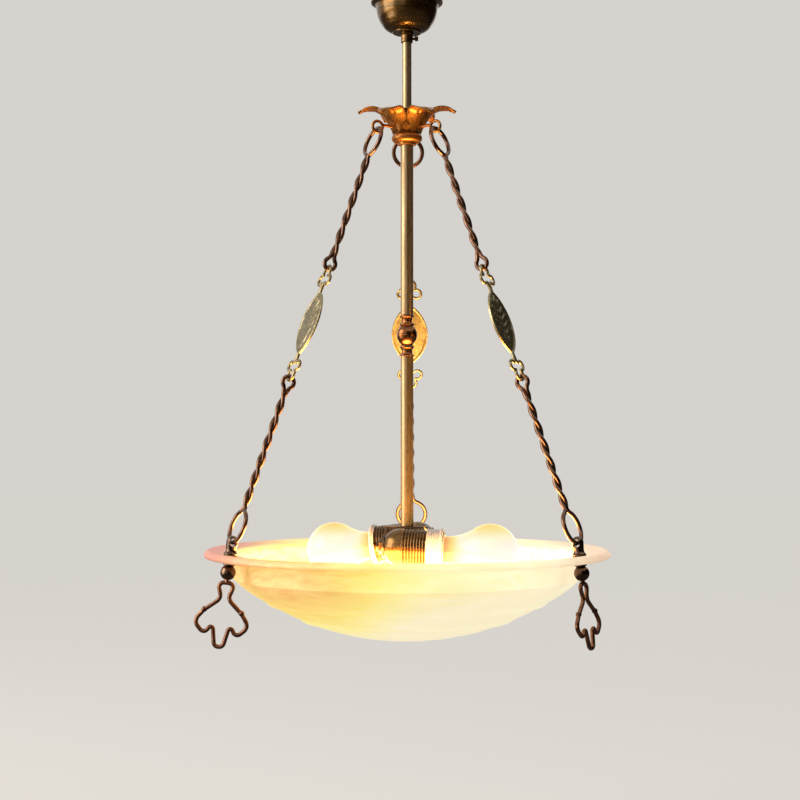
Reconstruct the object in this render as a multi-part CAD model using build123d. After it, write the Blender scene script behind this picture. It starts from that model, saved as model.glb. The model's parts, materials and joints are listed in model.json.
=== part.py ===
from build123d import *
from math import atan2, cos, radians, sin, sqrt, tan
import os

# Bowl pendant: a glass bowl hung on three twisted wire arms from a cast crown on a central stem.
# Millimetres. The origin is on the ceiling, on the stem's axis. +Z is up and -Y is the front.

# Heights down the stem
CANOPY_MOUTH_Z = -77.0
CROWN_TOP_Z = -172.0
CROWN_SEAT_Z = -188.0
CROWN_BOTTOM_Z = -202.0
KNOB_TOP_Z = -388.0
KNOB_BOTTOM_Z = -432.7
STEM_BOTTOM_Z = -617.4
RIM_Z = -641.5
BOWL_BOTTOM_Z = -739.5

# Tubes
TUBE_R = 7.0
NIPPLE_R = 5.0
WIREWAY_R = 3.5

# Ceiling crossbar
BAR_HALF = 46.0
BAR_WIDTH = 20.0
BAR_T = 2.0
BAR_DROP = 16.0
BAR_FLAT = 22.0
BAR_WEB = 4.0
SCREW_SPACING = 72.0
SCREW_R = 2.75

# Bowl
BOWL_BALL_R = 293.0
GLASS_T = 6.0
FLANGE_T = 7.0
NECK_R = 188.0
CREST_R = 212.0
LIP_R = 218.5
FLANGE_RISE = 8.0
RIDGE_RADII = (112.0, 149.0)

# Arms
AZIMUTHS = {"back": 90.0, "left": 210.0, "right": 330.0}
EYE_R = 36.0
EYE_Z = -185.0
EYE_RING_R = 6.0
EYE_WIRE_R = 1.6
KNUCKLE_R = 203.0
KNUCKLE_Z = -629.0
STRAND_R = 2.3
STRAND_OFFSET = 1.95
CLEARANCE = 0.15
BIG_EYE_R = 16.0
FOOT_EYE_R = 17.0
SMALL_EYE_R = 6.3
HALF_TURNS_UPPER = 5.5
HALF_TURNS_LOWER = 6.5

# Medallions
PLATE_AT = 228.5
PLATE_HALF = 36.5
PLATE_HALF_WIDTH = 21.0
PLATE_ARC_R = 42.2
PLATE_T = 2.6
LOOP_WIRE = 3.2
LOOP_LOBE_AT = 22.0
LOOP_LOBE_R = 7.0

# Rim bolts, measured along the bolt from its cross bore
BORE_R = 3.9
HEAD_R = 6.1
HEAD_AT = 1.0
BOLT_FOOT_R = 7.3
BOLT_R = 3.0
FOOT_Z = -12.4
BALL_NUT_Z = -30.5
BALL_NUT_R = 8.0
DROP_BAR = 4.4

# Lamps: the way each one points, how far it droops and where its axis passes beside the stem
LAMPS = {
    "right": {"turn": -4.0, "droop": 2.5, "offset": 20.5, "z": -639.3},
    "left": {"turn": 167.0, "droop": 7.0, "offset": 25.5, "z": -634.5},
}
BRACKET_TURN = -8.5

# Lampholders and bulbs, measured along each lamp from beside the stem
SHELL_R = 20.0
SHELL_END = 45.0
CAP_END = -22.0
RINGS = {"right": (23.5, 40.5), "left": (39.5, 44.5)}
RING_LIP_R = 22.6
RIDGE_R = 20.5
GLOBE_AT = 91.3
GLOBE_R = 30.0


def section(start, *steps):
    """A closed face in the XZ plane. A step is a point, or a pair of points for an arc."""
    edges = []
    here = start
    for step in steps:
        if isinstance(step[0], tuple):
            via, end = step
            edges.append(ThreePointArc(here, via, end))
        else:
            end = step
            edges.append(Line(here, end))
        here = end
    edges.append(Line(here, start))
    return Plane.XZ * make_face(edges)


def turned(start, *steps):
    """A solid turned about Z from a (radius, height) outline."""
    return revolve(section(start, *steps), Axis.Z)


def tube(outer, inner, top, bottom):
    """A plain tube on the Z axis."""
    return turned((inner, bottom), (outer, bottom), (outer, top), (inner, top))


def hex_nut(across_corners, hole, top, bottom):
    """A hexagon nut on the Z axis."""
    face = RegularPolygon(across_corners, 6) - Circle(hole)
    return Pos(0, 0, bottom) * extrude(face, top - bottom)


def around(shape, azimuths):
    """Copies of a piece made at azimuth 0, one for each azimuth."""
    return {name: Rot(0, 0, azimuth) * shape for name, azimuth in azimuths.items()}


def group(shapes):
    """Identical separate pieces that share one node."""
    return Compound(children=[solid for shape in shapes for solid in shape.solids()])


# ---------------------------------------------------------------- ceiling end


def ceiling_bracket():
    """Bent steel crossbar: two feet screwed to the ceiling and a dropped middle for the stem."""
    foot = BAR_FLAT + BAR_WEB
    outline = Polyline(
        (-BAR_HALF, 0),
        (-foot, 0),
        (-BAR_FLAT, -BAR_DROP),
        (BAR_FLAT, -BAR_DROP),
        (foot, 0),
        (BAR_HALF, 0),
        (BAR_HALF, -BAR_T),
        (foot + BAR_T * 0.6, -BAR_T),
        (BAR_FLAT + BAR_T * 0.6, -BAR_DROP - BAR_T),
        (-BAR_FLAT - BAR_T * 0.6, -BAR_DROP - BAR_T),
        (-foot - BAR_T * 0.6, -BAR_T),
        (-BAR_HALF, -BAR_T),
        close=True,
    )
    bar = extrude(Plane.XZ * make_face(outline), BAR_WIDTH / 2, both=True)
    bar -= Pos(0, 0, -BAR_DROP) * Cylinder(NIPPLE_R, 4 * BAR_T)
    for side in (-1, 1):
        bar -= Pos(side * SCREW_SPACING / 2, 0, 0) * Cylinder(SCREW_R, 4 * BAR_T)
    return bar


def bracket_nuts():
    """Lock nuts above and below the crossbar, which carry the whole lamp."""
    above = hex_nut(8.6, NIPPLE_R, -BAR_DROP + 4.5, -BAR_DROP)
    below = hex_nut(8.6, NIPPLE_R, -BAR_DROP - BAR_T, -BAR_DROP - BAR_T - 4.5)
    return group([above, below])


def terminal_block():
    """Two-way connector under the crossbar, with its screw wells and wire holes."""
    body = Pos(15.5, 0, -BAR_DROP - BAR_T - 6) * Box(12, 20, 12)
    body = fillet(body.edges().filter_by(Axis.Z), 1.2)
    for side in (-5, 5):
        body -= Pos(15.5, side, -BAR_DROP - BAR_T - 12) * Cylinder(2.2, 8)
        body -= Pos(15.5, side, -BAR_DROP - BAR_T - 6) * Rot(0, 90, 0) * Cylinder(1.6, 20)
    return body


def canopy():
    """Spun brass cup: a hollow upper tier, a step and a rounded cup with a turned-in mouth."""
    wall = 1.2
    outer = [
        (54, 0),
        (54, -3.5),
        ((46, -17), (39.6, -42.5)),
        (39.2, -45.8),
        (34.6, -47.4),
        (33.4, -50.5),
        ((31.6, -61), (26.8, -70)),
        ((22.6, -74.6), (16.8, CANOPY_MOUTH_Z)),
    ]
    inner = [
        (13, CANOPY_MOUTH_Z),
        (13, CANOPY_MOUTH_Z + wall),
        (16.4, CANOPY_MOUTH_Z + wall),
        ((21.6, -73.6), (25.8, -69.4)),
        ((30.4, -60.8), (32.2, -50.2)),
        (33.6, -46.3),
        (38.0, -44.7),
        (38.4, -42.4),
        ((44.7, -17.2), (52.8, -3.3)),
        (52.8, 0),
    ]
    return turned(*outer, *inner)


def canopy_disc():
    """Flat disc that closes the canopy's mouth round the stem."""
    return tube(16, NIPPLE_R + CLEARANCE, CANOPY_MOUTH_Z, CANOPY_MOUTH_Z - 1.8)


COLLAR_TOP_Z = CANOPY_MOUTH_Z - 1.8
COLLAR_MID_Z = COLLAR_TOP_Z - 6.0


def canopy_collar():
    """Short collar that a side screw locks to the stem, to hold the canopy up."""
    bore = NIPPLE_R + CLEARANCE
    collar = turned(
        (bore, COLLAR_TOP_Z),
        (7.4, COLLAR_TOP_Z),
        (7.4, COLLAR_TOP_Z - 1.5),
        (6.5, COLLAR_TOP_Z - 2.2),
        (6.5, COLLAR_TOP_Z - 9.6),
        ((6.3, COLLAR_TOP_Z - 10.2), (5.8, COLLAR_TOP_Z - 10.4)),
        (bore, COLLAR_TOP_Z - 10.4),
    )
    return collar - Pos(6, 0, COLLAR_MID_Z) * Rot(0, 90, 0) * Cylinder(1.65, 6)


def collar_screw():
    """Small knurled screw in the collar's side."""
    screw = turned((0, 5.3), (1.5, 5.3), (1.5, 8.6), (2.6, 9.0), (2.6, 11.6), (2.0, 12.4), (0, 12.4))
    return Pos(0, 0, COLLAR_MID_Z) * Rot(0, 90, 0) * screw


# ---------------------------------------------------------------- stem


def knob():
    """Turned coupling between the two lower tubes: rings, necks and an oblate ball."""
    spigot = 9.0
    outline = [
        (WIREWAY_R, KNOB_TOP_Z + spigot),
        (NIPPLE_R, KNOB_TOP_Z + spigot),
        (NIPPLE_R, KNOB_TOP_Z),
        (7.0, KNOB_TOP_Z),
        ((7.9, KNOB_TOP_Z - 1.5), (6.4, KNOB_TOP_Z - 2.9)),
        ((5.5, KNOB_TOP_Z - 6), (6.3, KNOB_TOP_Z - 9)),
        ((8.0, KNOB_TOP_Z - 10.4), (6.4, KNOB_TOP_Z - 11.8)),
        ((11.1, KNOB_TOP_Z - 21.7), (6.4, KNOB_TOP_Z - 31.6)),
        (5.9, KNOB_TOP_Z - 33.2),
        ((7.7, KNOB_TOP_Z - 35.0), (6.1, KNOB_TOP_Z - 36.8)),
        ((5.7, KNOB_TOP_Z - 40), (7.2, KNOB_TOP_Z - 43.2)),
        (8.3, KNOB_TOP_Z - 43.6),
        (8.3, KNOB_BOTTOM_Z),
        (NIPPLE_R, KNOB_BOTTOM_Z),
        (NIPPLE_R, KNOB_BOTTOM_Z - spigot),
        (WIREWAY_R, KNOB_BOTTOM_Z - spigot),
    ]
    return turned(*outline)


# ---------------------------------------------------------------- crown

PETALS = 6
PETAL_TIP_R = 52.0
# The two petals nearest the front are bent lower at their tips.
PETAL_DROOPS = (0.0, 0.0, 0.0, 0.0, 8.0, 8.0)


def petal_plan():
    """One pointed petal from above, at azimuth 0."""
    half = [
        Line((0, 0), (22, 12.7)),
        ThreePointArc((22, 12.7), (36, 13.4), (46.5, 7.2)),
        ThreePointArc((46.5, 7.2), (50, 4.0), (PETAL_TIP_R, 0)),
    ]
    other = [edge.mirror(Plane.XZ) for edge in half]
    return make_face(half + other)


def petal(droop):
    """One curled petal at azimuth 0, its tip bent down by a droop."""
    fold = 0.45 * droop
    middle = 0.95 * droop
    tip = 1.05 * droop
    bell = turned(
        (12.0, -190.2),
        (14.0, -190.2),
        ((21.2, -183), (23.9, -170.5)),
        ((26.4, -165.8 - 0.4 * fold), (31, -163.6 - fold)),
        ((42, -163.2 - middle), (PETAL_TIP_R, -167.6 - tip)),
        (PETAL_TIP_R, -165.4 - tip),
        ((42, -160.8 - middle), (30.4, -161.2 - fold)),
        ((24.4, -163.8 - 0.4 * fold), (21.4, -169.8)),
        ((18.9, -180.6), (12.0, -187.2)),
    )
    return bell & (Pos(0, 0, -215) * extrude(petal_plan(), 70))


def crown_groove():
    """The valley between two petals, cut a little into the bell."""
    cut = section(
        (15.5, -189.5),
        ((20.4, -182), (22.9, -170)),
        ((25.4, -165.6), (30, -163.2)),
        (40, -163.2),
        (40, -189.5),
    )
    return extrude(cut, 1.1, both=True)


def crown():
    """Cast flower of six petals that curl outwards, on a moulded collar."""
    collar = turned(
        (WIREWAY_R, CROWN_BOTTOM_Z - 9),
        (NIPPLE_R, CROWN_BOTTOM_Z - 9),
        (NIPPLE_R, CROWN_BOTTOM_Z),
        (10.0, CROWN_BOTTOM_Z),
        (10.4, CROWN_BOTTOM_Z + 2.6),
        ((16.8, -194.3), (13.2, -189.6)),
        (13.2, -184.5),
        (9.5, -182),
        (9.5, CROWN_TOP_Z),
        (NIPPLE_R, CROWN_TOP_Z),
        (NIPPLE_R, CROWN_SEAT_Z),
        (WIREWAY_R, CROWN_SEAT_Z),
    )
    flower = collar
    for turn, droop in enumerate(PETAL_DROOPS):
        flower += Rot(0, 0, turn * 360 / PETALS) * petal(droop)
    for turn in range(PETALS):
        flower -= Rot(0, 0, (turn + 0.5) * 360 / PETALS) * crown_groove()
    for azimuth in AZIMUTHS.values():
        flower -= Rot(0, 0, azimuth) * eye_shank()
    return flower


def eye_shank():
    """The screwed end of a crown eye."""
    return Pos(23.5, 0, EYE_Z + 2) * Rot(0, 90, 0) * Cylinder(1.8, 13)


def crown_eye():
    """Screw eye in the valley between two petals, from which an arm hangs."""
    ring_path = Plane.XZ * CenterArc((EYE_R, EYE_Z), EYE_RING_R, 0, 360)
    start = Plane(origin=ring_path @ 0, z_dir=ring_path % 0)
    ring = sweep(start * RegularPolygon(EYE_WIRE_R, 8), ring_path)
    return ring + eye_shank()


# ---------------------------------------------------------------- arms

PIVOT = Vector(EYE_R, 0, EYE_Z - EYE_RING_R + EYE_WIRE_R + STRAND_R + CLEARANCE)
KNUCKLE = Vector(KNUCKLE_R, 0, KNUCKLE_Z)
ARM_LENGTH = (KNUCKLE - PIVOT).length
ARM_UP = (PIVOT - KNUCKLE).normalized()
ARM_OUT = Vector(ARM_UP.Z, 0, -ARM_UP.X)
ARM = Plane(origin=PIVOT, x_dir=ARM_OUT, z_dir=ARM_UP)
FACE_PLANE = Plane(origin=(0, 0, 0), x_dir=(0, 1, 0), z_dir=(1, 0, 0))
SIDE_PLANE = Plane(origin=(0, 0, 0), x_dir=(1, 0, 0), z_dir=(0, -1, 0))


def flare_length(radius, flare):
    """From the middle of an eye to where its two wires lie side by side."""
    reach = radius + flare
    return sqrt(reach**2 - (STRAND_OFFSET + flare) ** 2)


def eye_path(radius, flare):
    """One open loop of wire: out from the twist, round the eye and back. Its middle is at 0, 0."""
    apex = -flare_length(radius, flare)
    lean = atan2(-apex, STRAND_OFFSET + flare)
    touch = (radius * cos(lean), -radius * sin(lean))
    half_lean = lean / 2
    bend = (
        STRAND_OFFSET + flare - flare * cos(half_lean),
        apex + flare * sin(half_lean),
    )
    rise = ThreePointArc((STRAND_OFFSET, apex), bend, touch)
    loop = ThreePointArc(touch, (0, radius), (-touch[0], touch[1]))
    fall = ThreePointArc((-touch[0], touch[1]), (-bend[0], bend[1]), (-STRAND_OFFSET, apex))
    return Wire([rise, loop, fall])


def wire_eye(radius, flare, plane, middle, up):
    """An eye of bent wire in the given plane of the arm, opening up or down from the twist."""
    path = plane * (Pos(0, middle) * Rot(0, 0, 0 if up > 0 else 180) * eye_path(radius, flare))
    start = Plane(origin=path @ 0, x_dir=plane.z_dir, z_dir=path % 0)
    return sweep(start * Rot(0, 0, 30) * RegularPolygon(STRAND_R, 6), path)


def twisted_pair(top, bottom, half_turns, first_turn):
    """Two wires twisted left-handed round the arm's axis, between two depths."""
    pair = Sketch()
    for side in (-1, 1):
        pair += Pos(side * STRAND_OFFSET, 0) * Rot(0, 0, 30) * RegularPolygon(STRAND_R, 6)
    face = (Rot(0, 0, first_turn) * pair).faces()[0]
    length = bottom - top
    twist = Solid.extrude_linear_with_rotation(face, (0, 0, 0), (0, 0, length), 180 * half_turns)
    return Pos(0, 0, -bottom) * twist


BIG_FLARE = 5.0
SMALL_FLARE = 8.0
LOOP_END = LOOP_LOBE_AT + LOOP_LOBE_R
UPPER_LOOP = PLATE_AT - PLATE_HALF - LOOP_END
LOWER_LOOP = PLATE_AT + PLATE_HALF + LOOP_END
LINK_SEAT = LOOP_WIRE / 2 + STRAND_R + CLEARANCE


def upper_link():
    """Crown to medallion: a big eye across the arm, a twist, and a small eye along it."""
    big_at = BIG_EYE_R
    small_at = UPPER_LOOP + LINK_SEAT - SMALL_EYE_R
    top = big_at + flare_length(BIG_EYE_R, BIG_FLARE)
    bottom = small_at - flare_length(SMALL_EYE_R, SMALL_FLARE)
    link = wire_eye(BIG_EYE_R, BIG_FLARE, FACE_PLANE, -big_at, 1)
    link += twisted_pair(top, bottom, HALF_TURNS_UPPER, 0)
    link += wire_eye(SMALL_EYE_R, SMALL_FLARE, SIDE_PLANE, -small_at, -1)
    return ARM * link


def lower_link():
    """Medallion to bowl: a small eye along the arm, a twist, and a big eye across it."""
    small_at = LOWER_LOOP - LINK_SEAT + SMALL_EYE_R
    big_at = ARM_LENGTH - FOOT_EYE_R
    top = small_at + flare_length(SMALL_EYE_R, SMALL_FLARE)
    bottom = big_at - flare_length(FOOT_EYE_R, BIG_FLARE)
    link = wire_eye(SMALL_EYE_R, SMALL_FLARE, SIDE_PLANE, -small_at, 1)
    link += twisted_pair(top, bottom, HALF_TURNS_LOWER, 90)
    link += wire_eye(FOOT_EYE_R, BIG_FLARE, FACE_PLANE, -big_at, -1)
    return ARM * link


def plate_outline(inset):
    """The medallion's pointed oval, two arcs that meet at the tips, drawn in by an inset."""
    wide = PLATE_HALF_WIDTH - inset
    long = sqrt((PLATE_ARC_R - inset) ** 2 - (PLATE_ARC_R - PLATE_HALF_WIDTH) ** 2)
    side = ThreePointArc((0, -long), (wide, 0), (0, long))
    return make_face([side, side.mirror(Plane.YZ)])


def trefoil_loop():
    """Open trefoil at a medallion's tip, its foot at 0, 0."""
    lobes = [
        ((-8.3, 12.5), 5.2),
        ((8.3, 12.5), 5.2),
        ((0, 14.8), 7.4),
        ((0, LOOP_LOBE_AT), LOOP_LOBE_R),
    ]
    outside = Pos(0, 3) * Rectangle(4.2, 9)
    opening = Sketch()
    for (x, y), radius in lobes:
        outside += Pos(x, y) * Circle(radius + LOOP_WIRE / 2)
        opening += Pos(x, y) * Circle(radius - LOOP_WIRE / 2)
    ring = extrude(outside - opening, LOOP_WIRE / 2, both=True)
    return chamfer(ring.faces().filter_by(Axis.Z).edges(), 0.8)


def medallion():
    """Cast plate with a raised rim, a low leaf boss on its outer face and a trefoil at each tip."""
    plate = extrude(plate_outline(0), PLATE_T / 2, both=True)
    plate -= Pos(0, 0, PLATE_T / 2 - 0.8) * extrude(plate_outline(2.0), 2)
    leaf = extrude(scale(plate_outline(0), 0.42), PLATE_T / 2 - 0.2, taper=30)
    plate += leaf
    tip = Pos(0, PLATE_HALF) * trefoil_loop()
    plate += tip
    plate += Rot(0, 0, 180) * tip
    placed = Pos(0, 0, -PLATE_AT) * Location(FACE_PLANE) * plate
    return ARM * placed


# ---------------------------------------------------------------- rim bolts and drops

BOLT_UP = Vector(-sin(radians(FLANGE_RISE)), 0, cos(radians(FLANGE_RISE)))
BOLT = Plane(origin=KNUCKLE, x_dir=(BOLT_UP.Z, 0, -BOLT_UP.X), z_dir=BOLT_UP)
CREST = Vector(CREST_R, 0, RIM_Z)
GLASS_TOP = -(KNUCKLE - CREST).dot(BOLT_UP)
GLASS_UNDER = GLASS_TOP - FLANGE_T
WASHER_T = 1.25
SEAT_GAP = 0.06


def rim_bolt():
    """Cross-bored round head on a slim neck and a small flared foot, with a shank through the glass."""
    half = HEAD_R * sin(radians(45))
    bolt = turned(
        (0, HEAD_AT + HEAD_R),
        ((half, HEAD_AT + half), (HEAD_R, HEAD_AT)),
        (5.5, -6.4),
        ((5.9, -9.6), (BOLT_FOOT_R, -11.4)),
        (BOLT_FOOT_R, FOOT_Z),
        (BOLT_R, FOOT_Z),
        (BOLT_R, BALL_NUT_Z - 2.0),
        (BOLT_R - 0.6, BALL_NUT_Z - 2.6),
        (0, BALL_NUT_Z - 2.6),
    )
    bore = turned((0, -8), (4.5, -8), (4.5, -6.2), (BORE_R, -3), (BORE_R, 3), (4.5, 6.2), (4.5, 8), (0, 8))
    return bolt - Rot(90, 0, 0) * bore


def upper_washer():
    """Soft washer between the bolt's foot and the glass."""
    return tube(BOLT_FOOT_R - 0.4, BOLT_R, FOOT_Z, GLASS_TOP + SEAT_GAP)


def lower_washer():
    """Soft washer between the glass and the ball nut."""
    return tube(7.4, BOLT_R, GLASS_UNDER, GLASS_UNDER - WASHER_T)


def ball_nut():
    """Ball with a bearing collar, bored for the bolt above and for the drop below."""
    bearing = GLASS_UNDER - WASHER_T - SEAT_GAP
    thread = BOLT_R + CLEARANCE
    top = BALL_NUT_Z + sqrt(BALL_NUT_R**2 - 4.6**2)
    bottom = BALL_NUT_Z - sqrt(BALL_NUT_R**2 - 3.0**2)
    return turned(
        (thread, bearing),
        (6.2, bearing),
        (6.2, bearing - 1.2),
        (4.6, top),
        ((BALL_NUT_R, BALL_NUT_Z), (3.0, bottom)),
        (2.4, bottom),
        (2.4, BALL_NUT_Z - 5.0),
        (0, BALL_NUT_Z - 5.0),
        (0, BALL_NUT_Z - 3.6),
        (thread, BALL_NUT_Z - 3.6),
    )


# Corners of half the drop's bar and how far each is rounded, below the ball's middle
DROP_CORNERS = {
    "shoulder": ((9.0, -10.6), 4.6),
    "waist": ((3.4, -26.6), 8.0),
    "cusp": ((19.4, -40.2), 3.0),
    "side lobe": ((28.4, -52.4), 7.5),
    "side lobe foot": ((16.2, -64.6), 4.6),
    "inner cusp": ((9.0, -51.6), 2.5),
    "bottom lobe": ((4.4, -75.5), 4.6),
}


def trefoil_drop():
    """Open cast trefoil under the ball nut: one bar bent round three lobes and a narrow neck."""
    half = list(DROP_CORNERS.values())
    corners = half + [((-x, y), rounding) for (x, y), rounding in reversed(half)]
    line = FilletPolyline(*[at for at, _ in corners], radius=[r for _, r in corners], close=True)
    start = Plane(origin=line @ 0, x_dir=(0, 0, 1), z_dir=line % 0)
    bar = sweep(start * RegularPolygon(DROP_BAR / 2, 6, rotation=30), line)
    stud = Pos(0, -7.6) * Rot(90, 0, 0) * Cylinder(2.4, 5.2)
    return Pos(0, 0, BALL_NUT_Z) * Location(SIDE_PLANE) * (bar + stud)


# The drops are tightened at different turns, as the photograph shows them.
DROP_TURNS = {"back": 90.0, "left": -30.0, "right": 90.0}


# ---------------------------------------------------------------- bowl


def flange_top(radius):
    """Height of the flange's upper face."""
    return RIM_Z - (CREST_R - radius) * tan(radians(FLANGE_RISE))


def ball_z(radius, ball):
    """Height of a ball of the bowl's centre at a radius."""
    centre = BOWL_BOTTOM_Z + BOWL_BALL_R
    return centre - sqrt(ball**2 - radius**2)


def glass_bowl():
    """Pressed glass bowl: a shallow cap with two raised rings, a neck and a rising flange."""
    outside = BOWL_BALL_R
    inside = BOWL_BALL_R - GLASS_T
    drop = FLANGE_T / cos(radians(FLANGE_RISE))
    steps = []
    last = 0.0
    for ridge in RIDGE_RADII:
        foot = ridge - 3.5
        top = ridge + 3.5
        middle = (last + foot) / 2
        steps.append(((middle, ball_z(middle, outside)), (foot, ball_z(foot, outside))))
        steps.append(((ridge, ball_z(ridge, outside + 1.8)), (top, ball_z(top, outside))))
        last = top
    edge = NECK_R - 0.5
    middle = (last + edge) / 2
    steps.append(((middle, ball_z(middle, outside)), (edge, ball_z(edge, outside))))
    inner_neck = NECK_R - GLASS_T - 0.5
    inner_mid = inner_neck / 2
    steps += [
        (NECK_R, ball_z(edge, outside) + 2),
        (NECK_R, flange_top(NECK_R) - drop - 1.5),
        ((NECK_R + 0.6, flange_top(NECK_R) - drop - 0.3), (NECK_R + 2, flange_top(NECK_R + 2) - drop)),
        (CREST_R + 2, flange_top(CREST_R + 2) - drop),
        ((LIP_R - 1.2, RIM_Z - 7.4), (LIP_R, RIM_Z - 4.4)),
        ((LIP_R - 2.2, RIM_Z - 1.3), (CREST_R, RIM_Z)),
        (inner_neck + 5, flange_top(inner_neck + 5)),
        ((inner_neck + 1.2, RIM_Z - 6.0), (inner_neck, RIM_Z - 9.5)),
        (inner_neck, ball_z(inner_neck, inside)),
        ((inner_mid, ball_z(inner_mid, inside)), (0, ball_z(0, inside))),
    ]
    bowl = turned((0, BOWL_BOTTOM_Z), *steps)
    hole = BOLT * Pos(0, 0, GLASS_TOP - FLANGE_T / 2) * Cylinder(BOLT_R + 1.0, 3 * FLANGE_T)
    for azimuth in AZIMUTHS.values():
        bowl -= Rot(0, 0, azimuth) * hole
    return bowl


# ---------------------------------------------------------------- lamp cluster

BRACKET_T = 2.0
BRACKET_HALF = 7.0
EAR_R = 12.0
CLUSTER_NUT_ENDS = (STEM_BOTTOM_Z - 2.0, STEM_BOTTOM_Z - 5.5)


def lamp_plane(side):
    """Where a lamp stands: its Z runs along the lamp and its X is up."""
    lamp = LAMPS[side]
    turn = radians(lamp["turn"])
    droop = radians(lamp["droop"])
    along = (cos(turn) * cos(droop), sin(turn) * cos(droop), -sin(droop))
    up = (cos(turn) * sin(droop), sin(turn) * sin(droop), cos(droop))
    origin = (sin(turn) * lamp["offset"], -cos(turn) * lamp["offset"], lamp["z"])
    return Plane(origin=origin, x_dir=up, z_dir=along)


def bracket_ear(side):
    """The bracket's ear behind one lampholder, reaching up and across to the stem."""
    lamp = LAMPS[side]
    droop = radians(lamp["droop"])
    height = (STEM_BOTTOM_Z - 0.4 - lamp["z"] - 24 * sin(droop)) / cos(droop)
    near = -lamp["offset"] + BRACKET_HALF
    far = -lamp["offset"] - BRACKET_HALF
    face = make_face(Polyline((0, EAR_R), (height, near), (height, far), (0, -EAR_R), close=True))
    face += Circle(EAR_R)
    face -= Circle(NIPPLE_R)
    return Location(lamp_plane(side)) * Pos(0, 0, CAP_END - BRACKET_T) * extrude(face, BRACKET_T)


def cluster_bracket():
    """Bent plate under the stem, with a leaning ear at each end for a lampholder."""
    plate = Rot(0, 0, BRACKET_TURN) * Pos(-0.75, 0, -BRACKET_T / 2) * Box(46.5, 2 * BRACKET_HALF, BRACKET_T)
    bracket = Pos(0, 0, STEM_BOTTOM_Z) * plate
    for side in LAMPS:
        bracket += bracket_ear(side)
    return bracket - Pos(0, 0, STEM_BOTTOM_Z) * Cylinder(NIPPLE_R, 20)


def holder_cap():
    """Domed back of a lampholder."""
    wall = 1.5
    return turned(
        (NIPPLE_R, CAP_END),
        (11, CAP_END),
        ((17.6, -15.5), (SHELL_R, -6)),
        (SHELL_R, -3),
        (SHELL_R - wall, -3),
        (SHELL_R - wall, -6),
        ((16.4, -14.6), (10.4, CAP_END + wall)),
        (NIPPLE_R, CAP_END + wall),
    )


def holder_shell():
    """Straight threaded skirt of a lampholder."""
    outline = [(SHELL_R - 1.5, -3), (SHELL_R, -3)]
    for at in (-1.5, 24.0, 41.5):
        outline += [(SHELL_R, at), (RIDGE_R, at + 0.4), (RIDGE_R, at + 1.2), (SHELL_R, at + 1.6)]
    outline += [(SHELL_R, SHELL_END), (SHELL_R - 1.5, SHELL_END)]
    return turned(*outline)


def shade_ring(start, end):
    """White glazed ring screwed on the skirt, with a lip at its outer end."""
    return turned(
        (RIDGE_R, start),
        (SHELL_R + 1.4, start),
        (SHELL_R + 1.4, end - 3.4),
        (RING_LIP_R, end - 2.6),
        (RING_LIP_R, end - 0.6),
        (RING_LIP_R - 0.6, end),
        (RIDGE_R, end),
    )


def holder_insert():
    """Glazed ceramic cup that holds the screw shell and the contact."""
    return turned(
        (0, -2),
        (18.5, -2),
        (18.5, SHELL_END - 3),
        (15.0, SHELL_END - 3),
        (14.3, SHELL_END - 4.5),
        (14.3, 4),
        (3, 4),
        (3, 6.5),
        (0, 6.5),
    )


def screw_shell():
    """Brass screw shell of a lampholder."""
    return tube(14.3, 13.7, 37, 4)


def bulb_base():
    """Screw cap of a bulb with rolled threads and its centre contact."""
    outline = [(0, 8.2), (4.5, 8.2), (5.5, 9.6), (10.4, 12.2)]
    for turn in range(5):
        start = 13.0 + turn * 3.6
        outline += [(12.3, start), (13.1, start + 0.8), (12.3, start + 1.6)]
    outline += [(13.0, 33.0), (13.3, 38.0), (0, 38.0)]
    return turned(*outline)


def bulb_glass():
    """Round-headed glass envelope, open at the neck, on its screw cap."""
    wall = 1.0
    lean = radians(40)
    touch = (GLOBE_R * cos(lean), GLOBE_AT - GLOBE_R * sin(lean))
    inner = GLOBE_R - wall
    inner_touch = (inner * cos(lean), GLOBE_AT - inner * sin(lean))
    return turned(
        (12.2, 38.0),
        (13.3, 38.0),
        (14.4, 43.0),
        ((17.2, 60.0), touch),
        ((GLOBE_R * sin(radians(65)), GLOBE_AT + GLOBE_R * cos(radians(65))), (0, GLOBE_AT + GLOBE_R)),
        (0, GLOBE_AT + inner),
        ((inner * sin(radians(65)), GLOBE_AT + inner * cos(radians(65))), inner_touch),
        ((16.2, 60.0), (13.4, 43.0)),
    )


def lamp_fixings():
    """The nipple and the lock nut that hold a lampholder to its ear."""
    nipple = tube(NIPPLE_R, WIREWAY_R, -14, CAP_END - BRACKET_T - 7)
    nut = hex_nut(8.6, NIPPLE_R, CAP_END - BRACKET_T, CAP_END - BRACKET_T - 4)
    return nipple, nut


def lamp_nodes():
    """Every piece of both lamps."""
    nodes = {}
    nipples = []
    nuts = []
    for side in LAMPS:
        place = Location(lamp_plane(side))
        nipple, nut = lamp_fixings()
        nipples.append(place * nipple)
        nuts.append(place * nut)
        nodes[f"holder_cap_{side}"] = place * holder_cap()
        nodes[f"holder_shell_{side}"] = place * holder_shell()
        nodes[f"shade_ring_{side}"] = place * shade_ring(*RINGS[side])
        nodes[f"holder_insert_{side}"] = place * holder_insert()
        nodes[f"screw_shell_{side}"] = place * screw_shell()
        nodes[f"bulb_base_{side}"] = place * bulb_base()
        nodes[f"bulb_glass_{side}"] = place * bulb_glass()
    nodes["holder_nipples"] = group(nipples)
    nodes["holder_locknuts"] = group(nuts)
    return nodes


# ---------------------------------------------------------------- the whole pendant


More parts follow.
